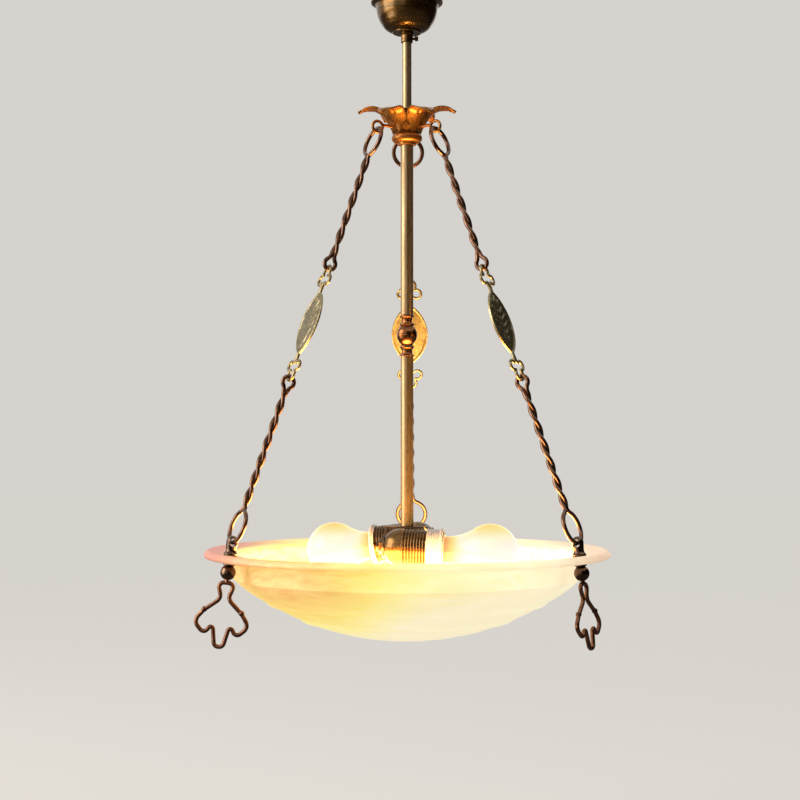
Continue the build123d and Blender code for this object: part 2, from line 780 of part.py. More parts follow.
def stem_nodes():
    """Canopy, tubes, knob and crown, all on the stem's axis."""
    return {
        "ceiling_bracket": ceiling_bracket(),
        "bracket_nuts": bracket_nuts(),
        "terminal_block": terminal_block(),
        "canopy": canopy(),
        "canopy_disc": canopy_disc(),
        "canopy_collar": canopy_collar(),
        "collar_screw": collar_screw(),
        "upper_stem": tube(NIPPLE_R, WIREWAY_R, -8, CROWN_SEAT_Z),
        "crown": crown(),
        "crown_eyes": group(around(crown_eye(), AZIMUTHS).values()),
        "middle_stem": tube(TUBE_R, NIPPLE_R, CROWN_BOTTOM_Z, KNOB_TOP_Z),
        "stem_knob": knob(),
        "lower_stem": tube(TUBE_R, NIPPLE_R, KNOB_BOTTOM_Z, STEM_BOTTOM_Z),
        "cluster_nipple": tube(NIPPLE_R, WIREWAY_R, STEM_BOTTOM_Z + 12, STEM_BOTTOM_Z - 7.5),
        "cluster_nut": hex_nut(7.5, NIPPLE_R, *CLUSTER_NUT_ENDS),
        "cluster_bracket": cluster_bracket(),
    }


def arm_nodes():
    """The three arms, with the bolts and drops at their feet."""
    nodes = {}
    shared = {
        "upper_link": upper_link(),
        "medallion": medallion(),
        "lower_link": lower_link(),
        "rim_bolt": BOLT * rim_bolt(),
        "ball_nut": BOLT * ball_nut(),
    }
    for name, shape in shared.items():
        for arm, placed in around(shape, AZIMUTHS).items():
            nodes[f"{name}_{arm}"] = placed
    drop = trefoil_drop()
    for arm, azimuth in AZIMUTHS.items():
        turned_drop = BOLT * (Rot(0, 0, DROP_TURNS[arm]) * drop)
        nodes[f"trefoil_drop_{arm}"] = Rot(0, 0, azimuth) * turned_drop
    nodes["upper_washers"] = group(around(BOLT * upper_washer(), AZIMUTHS).values())
    nodes["lower_washers"] = group(around(BOLT * lower_washer(), AZIMUTHS).values())
    return nodes


def main():
    """Write one file for each node."""
    nodes = stem_nodes() | arm_nodes() | lamp_nodes()
    nodes["glass_bowl"] = glass_bowl()
    os.makedirs("parts", exist_ok=True)
    for name, shape in nodes.items():
        export_step(shape, f"parts/{name}.step")
    print(len(nodes), "nodes; arm length", round(ARM_LENGTH, 1))


main()
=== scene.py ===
import json
from functools import partial
from math import asin, atan2, cos, hypot, pi, radians, sin, sqrt, tan

import bmesh
import bpy
from mathutils import Matrix, Vector


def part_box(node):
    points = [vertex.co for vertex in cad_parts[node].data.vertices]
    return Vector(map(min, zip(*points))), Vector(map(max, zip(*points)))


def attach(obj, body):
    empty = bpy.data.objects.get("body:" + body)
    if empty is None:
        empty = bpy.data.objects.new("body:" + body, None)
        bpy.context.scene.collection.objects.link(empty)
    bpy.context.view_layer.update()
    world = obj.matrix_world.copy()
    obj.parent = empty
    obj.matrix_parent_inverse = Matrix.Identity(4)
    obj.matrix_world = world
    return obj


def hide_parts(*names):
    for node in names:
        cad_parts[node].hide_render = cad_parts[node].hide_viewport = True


bl_info = {
    "name": "Bowl Pendant",
    "version": (1, 0, 0),
    "blender": (4, 5, 0),
    "location": "3D View > Sidebar > Pendant",
    "description": "Dresses a packed bowl pendant with its wire arms, cast crown, glass bowl, lamps and studio",
    "category": "Object",
}

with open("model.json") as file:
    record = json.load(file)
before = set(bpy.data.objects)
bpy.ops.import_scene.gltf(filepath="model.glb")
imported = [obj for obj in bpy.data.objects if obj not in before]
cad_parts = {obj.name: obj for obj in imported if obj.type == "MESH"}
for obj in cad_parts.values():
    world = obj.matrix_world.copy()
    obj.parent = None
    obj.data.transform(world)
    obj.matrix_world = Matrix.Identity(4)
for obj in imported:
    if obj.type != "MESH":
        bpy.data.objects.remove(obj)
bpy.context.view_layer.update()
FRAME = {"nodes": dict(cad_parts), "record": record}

MM = 0.001
ARMS = ("back", "left", "right")
SIDES = ("left", "right")


# ---------------------------------------------------------------- frame


def joint(name):
    """A joint's point in millimetres and its direction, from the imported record."""
    found = next(entry for entry in FRAME["record"]["behaviour"]["joints"] if entry["name"] == name)
    return Vector(found.get("pos_m", (0, 0, 0))) / MM, Vector(found["axis"]).normalized()


def axes(origin, x, z):
    """A place with its own X and Z directions."""
    matrix = Matrix((x, z.cross(x), z)).transposed().to_4x4()
    matrix.translation = origin
    return matrix


def arm_place(arm):
    """Where an arm hangs: X outwards, Z up the arm."""
    pivot, out = joint(f"arm_swing_{arm}")
    up = joint(f"medallion_swivel_{arm}")[1]
    return axes(pivot, out, up)


def bolt_place(arm):
    """A rim bolt's cross bore: Z up the bolt, X outwards."""
    knuckle, up = joint(f"finial_turn_{arm}")
    tangent = Vector((-knuckle.y, knuckle.x, 0)).normalized()
    return axes(knuckle, tangent.cross(up), up)


def lamp_place(side):
    """A lamp's own axis: Z from its holder to its bulb, X up."""
    middle, along = joint(f"bulb_turn_{side}")
    return axes(middle, (Vector((0, 0, 1)) - along * along.z).normalized(), along)


ARM_LENGTH = (joint("arm_swing_back")[0] - joint("finial_turn_back")[0]).length
MEDALLION_AT = (joint("arm_swing_back")[0] - joint("medallion_swivel_back")[0]).length
# Stands a form that lies in its own XY plane up on an arm, across it.
FACE = Matrix(((0, 0, 1, 0), (1, 0, 0, 0), (0, 1, 0, 0), (0, 0, 0, 1)))


# ---------------------------------------------------------------- shapes


def arc(a, b, c, count):
    """Points along the arc from a through b to c, leaving a out."""
    (ax, ay), (bx, by), (cx, cy) = a, b, c
    twice_area = 2 * (ax * (by - cy) + bx * (cy - ay) + cx * (ay - by))
    a2, b2, c2 = ax * ax + ay * ay, bx * bx + by * by, cx * cx + cy * cy
    ux = (a2 * (by - cy) + b2 * (cy - ay) + c2 * (ay - by)) / twice_area
    uy = (a2 * (cx - bx) + b2 * (ax - cx) + c2 * (bx - ax)) / twice_area
    radius = hypot(ax - ux, ay - uy)
    start = atan2(ay - uy, ax - ux)
    via = (atan2(by - uy, bx - ux) - start) % (2 * pi)
    sweep = (atan2(cy - uy, cx - ux) - start) % (2 * pi)
    if via > sweep:
        sweep -= 2 * pi
    turns = [start + sweep * step / count for step in range(1, count + 1)]
    return [(ux + radius * cos(turn), uy + radius * sin(turn)) for turn in turns]


def trace(start, *steps, fine=8):
    """Points of an outline. A step is a point, or a pair of points for an arc through the first."""
    points = [start]
    for step in steps:
        if isinstance(step[0], tuple):
            points += arc(points[-1], step[0], step[1], fine)
        else:
            points.append(step)
    return points


def rounded(corners, fine=6):
    """Points of a closed line with its corners rounded: each corner is a point and its radius."""
    points = []
    for index, (at, radius) in enumerate(corners):
        here = Vector(at)
        before = Vector(corners[index - 1][0])
        after = Vector(corners[(index + 1) % len(corners)][0])
        back, ahead = (before - here).normalized(), (after - here).normalized()
        half = back.angle(ahead) / 2
        reach = radius / tan(half)
        middle = here + (back + ahead).normalized() * (radius / sin(half))
        near = middle + (here - middle).normalized() * radius
        first, last = tuple(here + back * reach), tuple(here + ahead * reach)
        points += [first] + arc(first, tuple(near), last, fine)
    return points


def cleaned(form, dist=0.002):
    """The form with its doubles merged and its faces turned outwards."""
    bmesh.ops.remove_doubles(form, verts=form.verts, dist=dist)
    bmesh.ops.recalc_face_normals(form, faces=form.faces)
    return form


def placed(form, place):
    """The form moved to a place."""
    bmesh.ops.transform(form, matrix=place, verts=form.verts)
    return form


def turned(at, turn, axis):
    """A place in millimetres and a turn in degrees about one axis."""
    return Matrix.Translation(at) @ Matrix.Rotation(radians(turn), 4, axis)


def spun(form, steps):
    """The form's outline turned once round Z."""
    outline = form.verts[:] + form.edges[:]
    bmesh.ops.spin(form, geom=outline, cent=(0, 0, 0), axis=(0, 0, 1), angle=2 * pi, steps=steps, use_merge=True)
    return cleaned(form)


def lathe(points, steps=72, closed=True):
    """A form turned about Z from (radius, height) points."""
    form = bmesh.new()
    verts = [form.verts.new((radius, 0, height)) for radius, height in points]
    for pair in zip(verts, verts[1:] + verts[:1] if closed else verts[1:]):
        form.edges.new(pair)
    return spun(form, steps)


def wire(points, radii, closed=True, sides=3, smooth=False):
    """Round wire along points in space, with its own radius at each."""
    curve = bpy.data.curves.new("wire", "CURVE")
    curve.dimensions = "3D"
    curve.bevel_depth = 1.0
    curve.bevel_resolution = sides
    curve.use_fill_caps = not closed
    spline = curve.splines.new("NURBS" if smooth else "POLY")
    spline.points.add(len(points) - 1)
    for point, at, radius in zip(spline.points, points, radii):
        point.co = (*at, 1)
        point.radius = radius
    spline.use_cyclic_u = closed
    if smooth:
        spline.order_u = 4
        spline.use_endpoint_u = not closed
        spline.resolution_u = 2
    holder = bpy.data.objects.new("wire", curve)
    mesh = bpy.data.meshes.new_from_object(holder)
    form = bmesh.new()
    form.from_mesh(mesh)
    bpy.data.objects.remove(holder)
    bpy.data.curves.remove(curve)
    bpy.data.meshes.remove(mesh)
    return cleaned(form)


def ring(radius, thickness):
    """A round wire ring about Z."""
    form = bmesh.new()
    bmesh.ops.create_circle(form, segments=16, radius=thickness)
    bmesh.ops.rotate(form, verts=form.verts, cent=(0, 0, 0), matrix=Matrix.Rotation(pi / 2, 3, "X"))
    bmesh.ops.translate(form, verts=form.verts, vec=(radius, 0, 0))
    return spun(form, 48)


def ball(radius, at):
    """A small smooth ball."""
    form = bmesh.new()
    bmesh.ops.create_uvsphere(form, u_segments=24, v_segments=14, radius=radius, matrix=Matrix.Translation(at))
    return form


def join(*forms):
    """Several forms as one, each still its own closed shell."""
    whole = forms[0]
    for form in forms[1:]:
        mesh = bpy.data.meshes.new("part")
        form.to_mesh(mesh)
        form.free()
        whole.from_mesh(mesh)
        bpy.data.meshes.remove(mesh)
    return whole


def add_object(name, form):
    """An object of a form."""
    mesh = bpy.data.meshes.new(name)
    form.to_mesh(mesh)
    form.free()
    made = bpy.data.objects.new(name, mesh)
    bpy.context.scene.collection.objects.link(made)
    return made


def add_piece(name, form, place, finish, body, replaced=(), crease=35, bevel=0.0, subdivide=0, slot=None):
    """Makes an object of a form in millimetres, gives it a finish and lets it ride on a body.

    The slot is not used.
    """
    piece = add_object(name, placed(form, Matrix.Scale(MM, 4) @ place))
    piece.data.shade_smooth()
    piece.data.set_sharp_from_angle(angle=radians(crease))
    piece.data.materials.append(material(finish))
    if bevel:
        edge = piece.modifiers.new("Edge", "BEVEL")
        edge.width = bevel * MM
        edge.segments = 2
        edge.limit_method = "ANGLE"
        edge.angle_limit = radians(crease)
        edge.harden_normals = True
    if subdivide:
        finer = piece.modifiers.new("Finer", "SUBSURF")
        finer.levels = finer.render_levels = subdivide
    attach(piece, body)
    if replaced:
        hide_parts(*replaced)
    return piece


# ---------------------------------------------------------------- finishes


def linear(code):
    """An sRGB hex colour as linear values."""
    values = [int(code[start : start + 2], 16) / 255 for start in (0, 2, 4)]
    return tuple(v / 12.92 if v <= 0.04045 else ((v + 0.055) / 1.055) ** 2.4 for v in values)


def opaque(code):
    """An sRGB hex colour as a colour socket takes it."""
    return (*linear(code), 1)


def feed(node, sockets):
    """Sets a node's inputs, or links them. A node stands for its first output that is in use."""
    for socket, value in sockets.items():
        if isinstance(value, bpy.types.Node):
            value = next(output for output in value.outputs if output.enabled)
        if isinstance(value, bpy.types.NodeSocket):
            node.id_data.links.new(value, node.inputs[socket])
        else:
            node.inputs[socket].default_value = value
    return node


def add_node(tree, kind, sockets=None, **settings):
    """Adds a node, sets it, and sets or links its inputs."""
    node = tree.nodes.new(kind)
    for key, value in settings.items():
        setattr(node, key, value)
    return feed(node, sockets or {})


def set_stops(ramp, stops):
    """Gives a colour ramp its stops: a place and a hex colour or a grey."""
    band = ramp.color_ramp
    while len(band.elements) < len(stops):
        band.elements.new(0.5)
    for element, (at, tone) in zip(band.elements, stops):
        element.position = at
        element.color = (*(linear(tone) if isinstance(tone, str) else (tone,) * 3), 1)
    return ramp


def new_material(name):
    """An empty material, the function that adds its nodes, its shader and its output."""
    made = bpy.data.materials.new(name)
    made.use_nodes = True
    made.node_tree.nodes.clear()
    add = partial(add_node, made.node_tree)
    shader = add("ShaderNodeBsdfPrincipled")
    output = add("ShaderNodeOutputMaterial", {"Surface": shader})
    return made, add, shader, output


def brass(name, tones, rough, stretch=(1, 1, 1), wear_and_shade=0.0, grain_mm=6.0, pit_mm=0.8, pit=0.15, metal=1.0, lacquer=0.5):
    """Lacquered or aged brass: cloudy tarnish, a fine surface grain and worn high points, with flats and hollows darker
    as tarnish and as painted shade.
    """
    made, add, shader, output = new_material(name)
    run = add("ShaderNodeMapping", {"Vector": add("ShaderNodeTexCoord").outputs["Object"], "Scale": stretch})
    cloud = add("ShaderNodeTexNoise", {"Vector": run, "Scale": 1 / (grain_mm * MM), "Detail": 6.0, "Roughness": 0.6})
    colour = set_stops(add("ShaderNodeValToRGB", {"Fac": cloud}), list(zip((0.30, 0.52, 0.74), tones)))
    # Painted shade and wear: flats and hollows are darkened by their pointiness and edges kept bright, standing for
    # both tarnish and shade.
    if wear_and_shade:
        edge = add("ShaderNodeNewGeometry").outputs["Pointiness"]
        rubbed_and_shaded = set_stops(add("ShaderNodeValToRGB", {"Fac": edge}), [(0.44, 0.0), (0.50, 0.35), (0.58, 1.0)])
        colour = add(
            "ShaderNodeMix", {"Factor": wear_and_shade, "A": colour, "B": rubbed_and_shaded}, data_type="RGBA", blend_type="MULTIPLY"
        )
    fine = add("ShaderNodeTexNoise", {"Vector": run, "Scale": 1 / (pit_mm * MM), "Detail": 3.0, "Roughness": 0.5})
    sheen = add(
        "ShaderNodeMapRange",
        {"Value": fine, "From Min": 0.3, "From Max": 0.7, "To Min": rough - 0.07, "To Max": rough + 0.09},
    )
    relief = add("ShaderNodeBump", {"Height": fine, "Strength": pit, "Distance": 0.2 * MM})
    feed(shader, {"Base Color": colour, "Roughness": sheen, "Normal": relief, "Metallic": metal})
    feed(shader, {"Coat Weight": lacquer, "Coat Roughness": 0.12})
    return made


# Each kind of brass by its slot: the finish, its tones from dark to light, its roughness and what sets it apart.
BRASSES = {
    # Spun brass with old lacquer: brown-gold, with faint rings left by the spinning tool.
    "aged_brass": (
        "aged_spun_brass", ("4E3818", "7C5A2C", "A27E44"), 0.27, dict(stretch=(0.4, 0.4, 3), grain_mm=14.0, pit=0.05)
    ),
    # Drawn brass tube under satin lacquer: olive gold, with the faintest lines along it.
    "tube_brass": (
        "drawn_tube_brass", ("9A8258", "B8996C", "D2B68C"), 0.31,
        dict(stretch=(1, 1, 0.06), grain_mm=5.0, pit_mm=0.5, pit=0.05, metal=0.87),
    ),
    # Turned and lacquered brass: redder and glossier than the tubes.
    "turned_brass": (
        "turned_brass", ("6A3C1C", "985E2E", "C48848"), 0.24, dict(stretch=(0.4, 0.4, 4), grain_mm=8.0, pit=0.06)
    ),
    # Sand-cast brass aged brown, its tones lifted to orange-gold as painted warm light from the bowl: slightly grainy,
    # dark in its hollows, partly as painted shade, and rubbed on its edges.
    "cast_brass": (
        "cast_brass", ("A4662A", "C88638", "E0A850"), 0.40,
        dict(wear_and_shade=0.4, grain_mm=16.0, pit_mm=1.2, pit=0.05, metal=0.92, lacquer=0.3),
    ),
    # Cast brass left brown in the hand: maroon in the hollows, partly as painted shade, copper where it is rubbed.
    "browned_casting": (
        "browned_casting", ("5A301A", "8C5230", "BC8450"), 0.26,
        dict(wear_and_shade=0.5, grain_mm=8.0, pit_mm=1.0, pit=0.08, metal=0.92, lacquer=0.9),
    ),
    # Bent brass sheet browned by the lamps' heat: pink-brown and olive.
    "browned_sheet": ("browned_brass_sheet", ("4A3424", "75573A", "93805A"), 0.30, dict(grain_mm=9.0, pit=0.05)),
    # Cast and chased brass plate under old lacquer: grey-olive, brown in the cut lines, partly as painted shade, rubbed
    # on the raised leaves.
    "chased_brass": (
        "chased_brass", ("82744C", "A8996E", "CCBE94"), 0.34,
        dict(wear_and_shade=0.55, grain_mm=10.0, pit_mm=1.0, pit=0.05, metal=0.86),
    ),
    # Turned bolts and balls of browned brass: dark and glossy.
    "machined_brass": (
        "browned_turned_brass", ("3A2412", "5E3E22", "846036"), 0.20, dict(grain_mm=7.0, pit=0.05, lacquer=1.0)
    ),
    # Hand-bent brass rod aged brown: dark where the strands meet, partly as painted shade, rubbed where they stand out.
    "brass_wire": (
        "aged_brass_wire", ("4E2F1A", "7C5030", "AC7C54"), 0.24,
        dict(wear_and_shade=0.6, grain_mm=6.0, pit_mm=0.8, pit=0.08, metal=0.94, lacquer=0.9),
    ),
    # Zinc plated pressed steel: pale grey, satin, slightly cloudy.
    "plated_steel": ("zinc_plated_steel", ("8B8A85", "A8A7A1", "C2C0B8"), 0.38, dict(grain_mm=7.0, pit=0.1)),
    # Thin rolled brass of a bulb's screw cap: bright and yellow.
    "bulb_cap": ("rolled_cap_brass", ("9A8146", "B99D5B", "D2BB7C"), 0.26, dict(grain_mm=6.0, pit=0.05)),
}


def bulb_heart(side, reach_mm=91):
    """The point in a bulb where its light starts, in metres, and the bulb's direction."""
    middle, along = joint(f"bulb_turn_{side}")
    return (middle + along * reach_mm) * MM, along


def frosted_bowl_glass():
    """Pressed glass, satin etched, with the bulbs' light painted in as a glow: white over the lamps, through yellow to
    peach, and rosy at its ends in painted shade.
    """
    made, add, shader, output = new_material("frosted_pressed_glass")
    spot = add("ShaderNodeTexCoord").outputs["Object"]
    x, y, z = add("ShaderNodeSeparateXYZ", {"Vector": spot}).outputs
    out = add("ShaderNodeVectorMath", {0: add("ShaderNodeCombineXYZ", {"X": x, "Y": y})}, operation="LENGTH")
    smooth = {"interpolation_type": "SMOOTHSTEP"}
    # Painted shade: the ends of the lip lie beyond the bulbs' direct light, so their colour and glow turn rosy.
    beyond = add("ShaderNodeMath", {0: x}, operation="ABSOLUTE")
    ends = add("ShaderNodeMapRange", {"Value": beyond, "From Min": 0.120, "From Max": 0.205}, **smooth)
    flange = add("ShaderNodeMapRange", {"Value": out, "From Min": 0.184, "From Max": 0.196}, **smooth)
    # The left end hangs further from its bulb than the right one, and stays rosier.
    left = add("ShaderNodeMapRange", {"Value": x, "From Min": -0.1, "From Max": 0.1, "To Min": 1.0, "To Max": 0.5})
    end = add("ShaderNodeMath", {0: ends, 1: left}, operation="MULTIPLY")
    rosy = add("ShaderNodeMath", {0: end, 1: flange}, operation="MULTIPLY")
    # Strokes follow the pressing: long feathers a few millimetres wide, bent by a slow wave.
    slow = add("ShaderNodeTexNoise", {"Vector": spot, "Scale": 11.0, "Detail": 2.0})
    bend = add("ShaderNodeVectorMath", {0: slow.outputs["Color"], 1: (0.06, 0.06, 0.04)}, operation="MULTIPLY")
    moved = add("ShaderNodeVectorMath", {0: spot, 1: bend}, operation="ADD")
    turn = add("ShaderNodeMapping", {"Vector": moved, "Rotation": (0.3, 0.2, 0.5), "Scale": (10.0, 75.0, 150.0)})
    stroke = add("ShaderNodeTexNoise", {"Vector": turn, "Scale": 1.0, "Detail": 4.0, "Roughness": 0.5})
    vein = set_stops(
        add("ShaderNodeValToRGB", {"Fac": stroke}), [(0.32, "D2AC78"), (0.50, "DDBE8C"), (0.68, "E6CEA2")]
    )
    # The base colour takes the rosy painted shade too.
    lip_tint = (*bpy.context.scene.pendant_finishes.lip_tint, 1)
    tint = add("ShaderNodeMix", {"Factor": rosy, "A": vein, "B": lip_tint}, data_type="RGBA")
    # Painted light: the glass is no lamp, yet glows with the two bulbs' light, by the distance from the nearer one.
    gaps = {
        index: add("ShaderNodeVectorMath", {0: spot, 1: tuple(bulb_heart(side)[0])}, operation="DISTANCE")
        for index, side in enumerate(SIDES)
    }
    nearer = add("ShaderNodeMath", gaps, operation="MINIMUM")
    painted_glow = add(
        "ShaderNodeMapRange", {"Value": nearer, "From Min": 0.09, "From Max": 0.30, "To Min": 1.0, "To Max": 0.0}
    )
    # The right lamp is the brighter one.
    span = {"From Min": -0.15, "From Max": 0.05, "To Min": -0.04, "To Max": 0.38}
    bright = add("ShaderNodeMapRange", {"Value": x, **span}, **smooth)
    base = add("ShaderNodeMath", {0: painted_glow, 1: 0.45, 2: bright}, operation="MULTIPLY_ADD")
    # The bottom gathers light from both lamps.
    low = add("ShaderNodeMapRange", {"Value": z, "From Min": -0.672, "From Max": -0.730, "To Max": 0.17})
    sunk = add("ShaderNodeMath", {0: base, 1: low}, operation="ADD")
    drift = add("ShaderNodeMath", {0: stroke, 1: 0.10, 2: sunk}, operation="MULTIPLY_ADD")
    # Painted highlight: the flange glows a little brighter, as if it caught more light.
    level = add("ShaderNodeMath", {0: flange, 1: 0.06, 2: drift}, operation="MULTIPLY_ADD")
    warm = set_stops(
        add("ShaderNodeValToRGB", {"Fac": level}),
        [(0.0, "8C4A38"), (0.2, "D69850"), (0.40, "F5D26C"), (0.52, "F8E87C"), (0.64, "FCF6A6"), (0.82, "FFFBD8")],
    )
    lit = add("ShaderNodeMix", {"Factor": rosy, "A": warm, "B": opaque("A4604C")}, data_type="RGBA")
    etch = add("ShaderNodeTexNoise", {"Vector": spot, "Scale": 1200.0, "Detail": 2.0})
    skin = add("ShaderNodeMath", {0: stroke, 1: etch}, operation="ADD")
    relief = add("ShaderNodeBump", {"Height": skin, "Strength": 0.2, "Distance": 0.4 * MM})
    feed(shader, {"Base Color": tint, "Emission Color": lit, "Normal": relief, "Emission Strength": 0.76})
    feed(shader, {"Roughness": 0.42, "IOR": 1.5, "Subsurface Weight": 0.35})
    feed(shader, {"Subsurface Radius": (0.008, 0.007, 0.005), "Subsurface Scale": 1.0})
    return made


def bulb_envelope(side):
    """Blown soda glass round a lit filament: white inside, yellow above, orange at its neck, clear at its edge."""
    made, add, shader, output = new_material(f"blown_glass_{side}")
    heart, along = bulb_heart(side, 94)
    spot = add("ShaderNodeTexCoord").outputs["Object"]
    gap = add("ShaderNodeVectorMath", {0: spot, 1: tuple(heart)}, operation="SUBTRACT")
    x, y, z = add("ShaderNodeSeparateXYZ", {"Vector": gap}).outputs
    reach = add("ShaderNodeVectorMath", {0: gap, 1: tuple(along)}, operation="DOT_PRODUCT")
    # The glow sits low in the globe: it fades upwards and towards the neck.
    above = add("ShaderNodeMapRange", {"Value": z, "From Min": 0.006, "From Max": 0.034})
    behind = add("ShaderNodeMapRange", {"Value": reach, "From Min": -0.026, "From Max": -0.050})
    fade = add("ShaderNodeMath", {0: above, 1: behind}, operation="MAXIMUM")
    glow = set_stops(
        add("ShaderNodeValToRGB", {"Fac": fade}), [(0.0, "FFFFFA"), (0.4, "FFFCDC"), (0.72, "F8E48C"), (1.0, "F2A868")]
    )
    feed(shader, {"Base Color": opaque("2E2A22"), "Roughness": 0.05, "IOR": 1.5})
    feed(shader, {"Emission Color": glow, "Emission Strength": 0.92})
    edge = add("ShaderNodeLayerWeight", {"Blend": 0.3}).outputs["Facing"]
    amount = add("ShaderNodeMapRange", {"Value": edge, "To Min": 0.72, "To Max": 0.98})
    clear = add("ShaderNodeBsdfTransparent", {"Color": opaque("FFF3D8")})
    feed(output, {"Surface": add("ShaderNodeMixShader", {0: amount, 1: clear, 2: shader})})
    return made


def glowing_filament():
    """Tungsten at working heat: yellow-white."""
    made, add, shader, output = new_material("hot_tungsten")
    feed(shader, {"Base Color": opaque("FFE9B0"), "Emission Color": opaque("FFF0C0"), "Emission Strength": 5.0})
    return made


def mount_glass():
    """Pressed lead glass of the bulb's mount: milky where it is drawn thin, and glowing with painted light from the
    filament.
    """
    made, add, shader, output = new_material("pressed_mount_glass")
    feed(shader, {"Base Color": opaque("F4E6C4"), "Roughness": 0.1})
    # Painted light: the mount is no lamp, its glow stands for the filament's light on it.
    feed(shader, {"Emission Color": opaque("FFD890"), "Emission Strength": 0.5})
    return made


def white_porcelain():
    """Glazed porcelain: off-white and glossy, with faint waves in the glaze."""
    made, add, shader, output = new_material("glazed_porcelain")
    spot = add("ShaderNodeTexCoord").outputs["Object"]
    cloud = add("ShaderNodeTexNoise", {"Vector": spot, "Scale": 90.0, "Detail": 3.0})
    tone = set_stops(add("ShaderNodeValToRGB", {"Fac": cloud}), [(0.3, "CDBFB0"), (0.7, "DED3C6")])
    wave = add("ShaderNodeBump", {"Height": cloud, "Strength": 0.1, "Distance": 0.3 * MM})
    feed(shader, {"Base Color": tone, "Normal": wave, "Roughness": 0.18, "IOR": 1.54})
    return made


def pressed_felt():
    """Pressed wool felt: brown, rough and slightly furry."""
    made, add, shader, output = new_material("pressed_felt")
    spot = add("ShaderNodeTexCoord").outputs["Object"]
    hair = add("ShaderNodeTexNoise", {"Vector": spot, "Scale": 1500.0, "Detail": 4.0})
    tone = set_stops(add("ShaderNodeValToRGB", {"Fac": hair}), [(0.3, "3A2A1D"), (0.7, "5B4431")])
    wool = add("ShaderNodeBump", {"Height": hair, "Strength": 0.6, "Distance": 0.4 * MM})
    feed(shader, {"Base Color": tone, "Normal": wool, "Roughness": 0.95, "Sheen Weight": 0.3})
    return made


RECIPES = {
    "bowl_glass": frosted_bowl_glass,
    "bulb_glass": partial(bulb_envelope, "right"),
    "bulb_glass_left": partial(bulb_envelope, "left"),
    "bulb_glass_right": partial(bulb_envelope, "right"),
    "filament": glowing_filament,
    "mount_glass": mount_glass,
    "white_porcelain": white_porcelain,
    "felt": pressed_felt,
}
MADE = {}


def material(slot):
    """The finish of a material slot, made once."""
    if slot not in MADE:
        if slot in BRASSES:
            name, tones, rough, special = BRASSES[slot]
            MADE[slot] = brass(name, tones, rough, **special)
        else:
            MADE[slot] = RECIPES[slot]()
    return MADE[slot]


# ---------------------------------------------------------------- sizes and colours


def length(name, description, default_mm):
    """A size property in metres with its default in millimetres."""
    return bpy.props.FloatProperty(
        name=name, description=description, default=default_mm * MM, min=0.0, subtype="DISTANCE", unit="LENGTH",
        precision=5,
    )


def colour(name, description, code):
    """A colour property with its default as a hex code."""
    return bpy.props.FloatVectorProperty(
        name=name, description=description, default=linear(code), min=0, max=1, size=3, subtype="COLOR"
    )


class PendantArmSizes(bpy.types.PropertyGroup):
    strand: length("Strand", "Radius of one strand in the twist", 2.12)
    eye_wire: length("Eye wire", "Radius of the wire round an eye", 2.3)
    big_eye: length("Big eye", "Radius of the eye at the crown", 16.0)
    foot_eye: length("Foot eye", "Radius of the eye at the bowl", 17.0)
    small_eye: length("Small eye", "Radius of the eyes at the medallion", 6.3)
    upper_half_turns: bpy.props.FloatProperty(
        name="Upper half turns", description="Half turns in the upper link's twist", default=5.5
    )
    lower_half_turns: bpy.props.FloatProperty(
        name="Lower half turns", description="Half turns in the lower link's twist", default=6.5
    )


class PendantMedallionSizes(bpy.types.PropertyGroup):
    half_length: length("Half length", "From the plate's middle to its tip", 36.5)
    half_width: length("Half width", "Half the plate's width", 21.0)
    thickness: length("Thickness", "Thickness of the plate at its rim", 2.6)
    loop_wire: length("Loop wire", "Radius of the trefoil loops' wire", 1.6)
    relief: length("Relief", "Height of the leaves over the field", 0.9)


class PendantDropSizes(bpy.types.PropertyGroup):
    bar: length("Bar", "Radius of the trefoil drop's bar", 2.25)
    knob: length("Knob", "Radius of the small knobs on its shoulders", 3.0)


class PendantFinishes(bpy.types.PropertyGroup):
    # The lip's tint is painted shade on the glass, where the bulbs' light doesn't reach.
    lip_tint: colour("Lip tint", "Colour of the glass at the bowl's lip", "CC948A")
    floor_tint: colour("Floor", "Colour of the studio floor", "E4E1DC")
    glow_tint: colour("Glow", "Colour of the light that leaves the bowl", "FFC070")


# ---------------------------------------------------------------- canopy and stem


class PENDANT_OT_canopy(bpy.types.Operator):
    """Spun canopy and its closing disc"""

    bl_idname = "pendant.canopy"
    bl_label = "Canopy"

    def execute(self, context):
        outer = trace(
            (54, -0.1), (54, -3.5), ((46, -17), (39.6, -42.5)), (39.2, -45.8), (34.6, -47.4), (33.4, -50.5),
            ((31.6, -61), (26.8, -70)), ((22.6, -74.6), (16.8, -77)), fine=14,
        )
        inner = trace(
            (13, -77), (13, -75.8), (16.4, -75.8), ((21.6, -73.6), (25.8, -69.4)), ((30.4, -60.8), (32.2, -50.2)),
            (33.6, -46.3), (38.0, -44.7), (38.4, -42.4), ((44.7, -17.2), (52.8, -3.3)), (52.8, -0.1), fine=10,
        )
        add_piece("canopy_spun", lathe(outer + inner, 96), Matrix(), "aged_brass", "canopy", ["canopy"], bevel=0.35)
        disc = trace(
            (5.2, -77.05), (15.4, -77.05), ((16.0, -77.6), (15.9, -78.2)), (15.4, -78.75), (5.2, -78.75), fine=4
        )
        add_piece("canopy_closing_disc", lathe(disc, 64), Matrix(), "aged_brass", "canopy", ["canopy_disc"])
        return {"FINISHED"}


KNOB_TOP_Z = -388.0


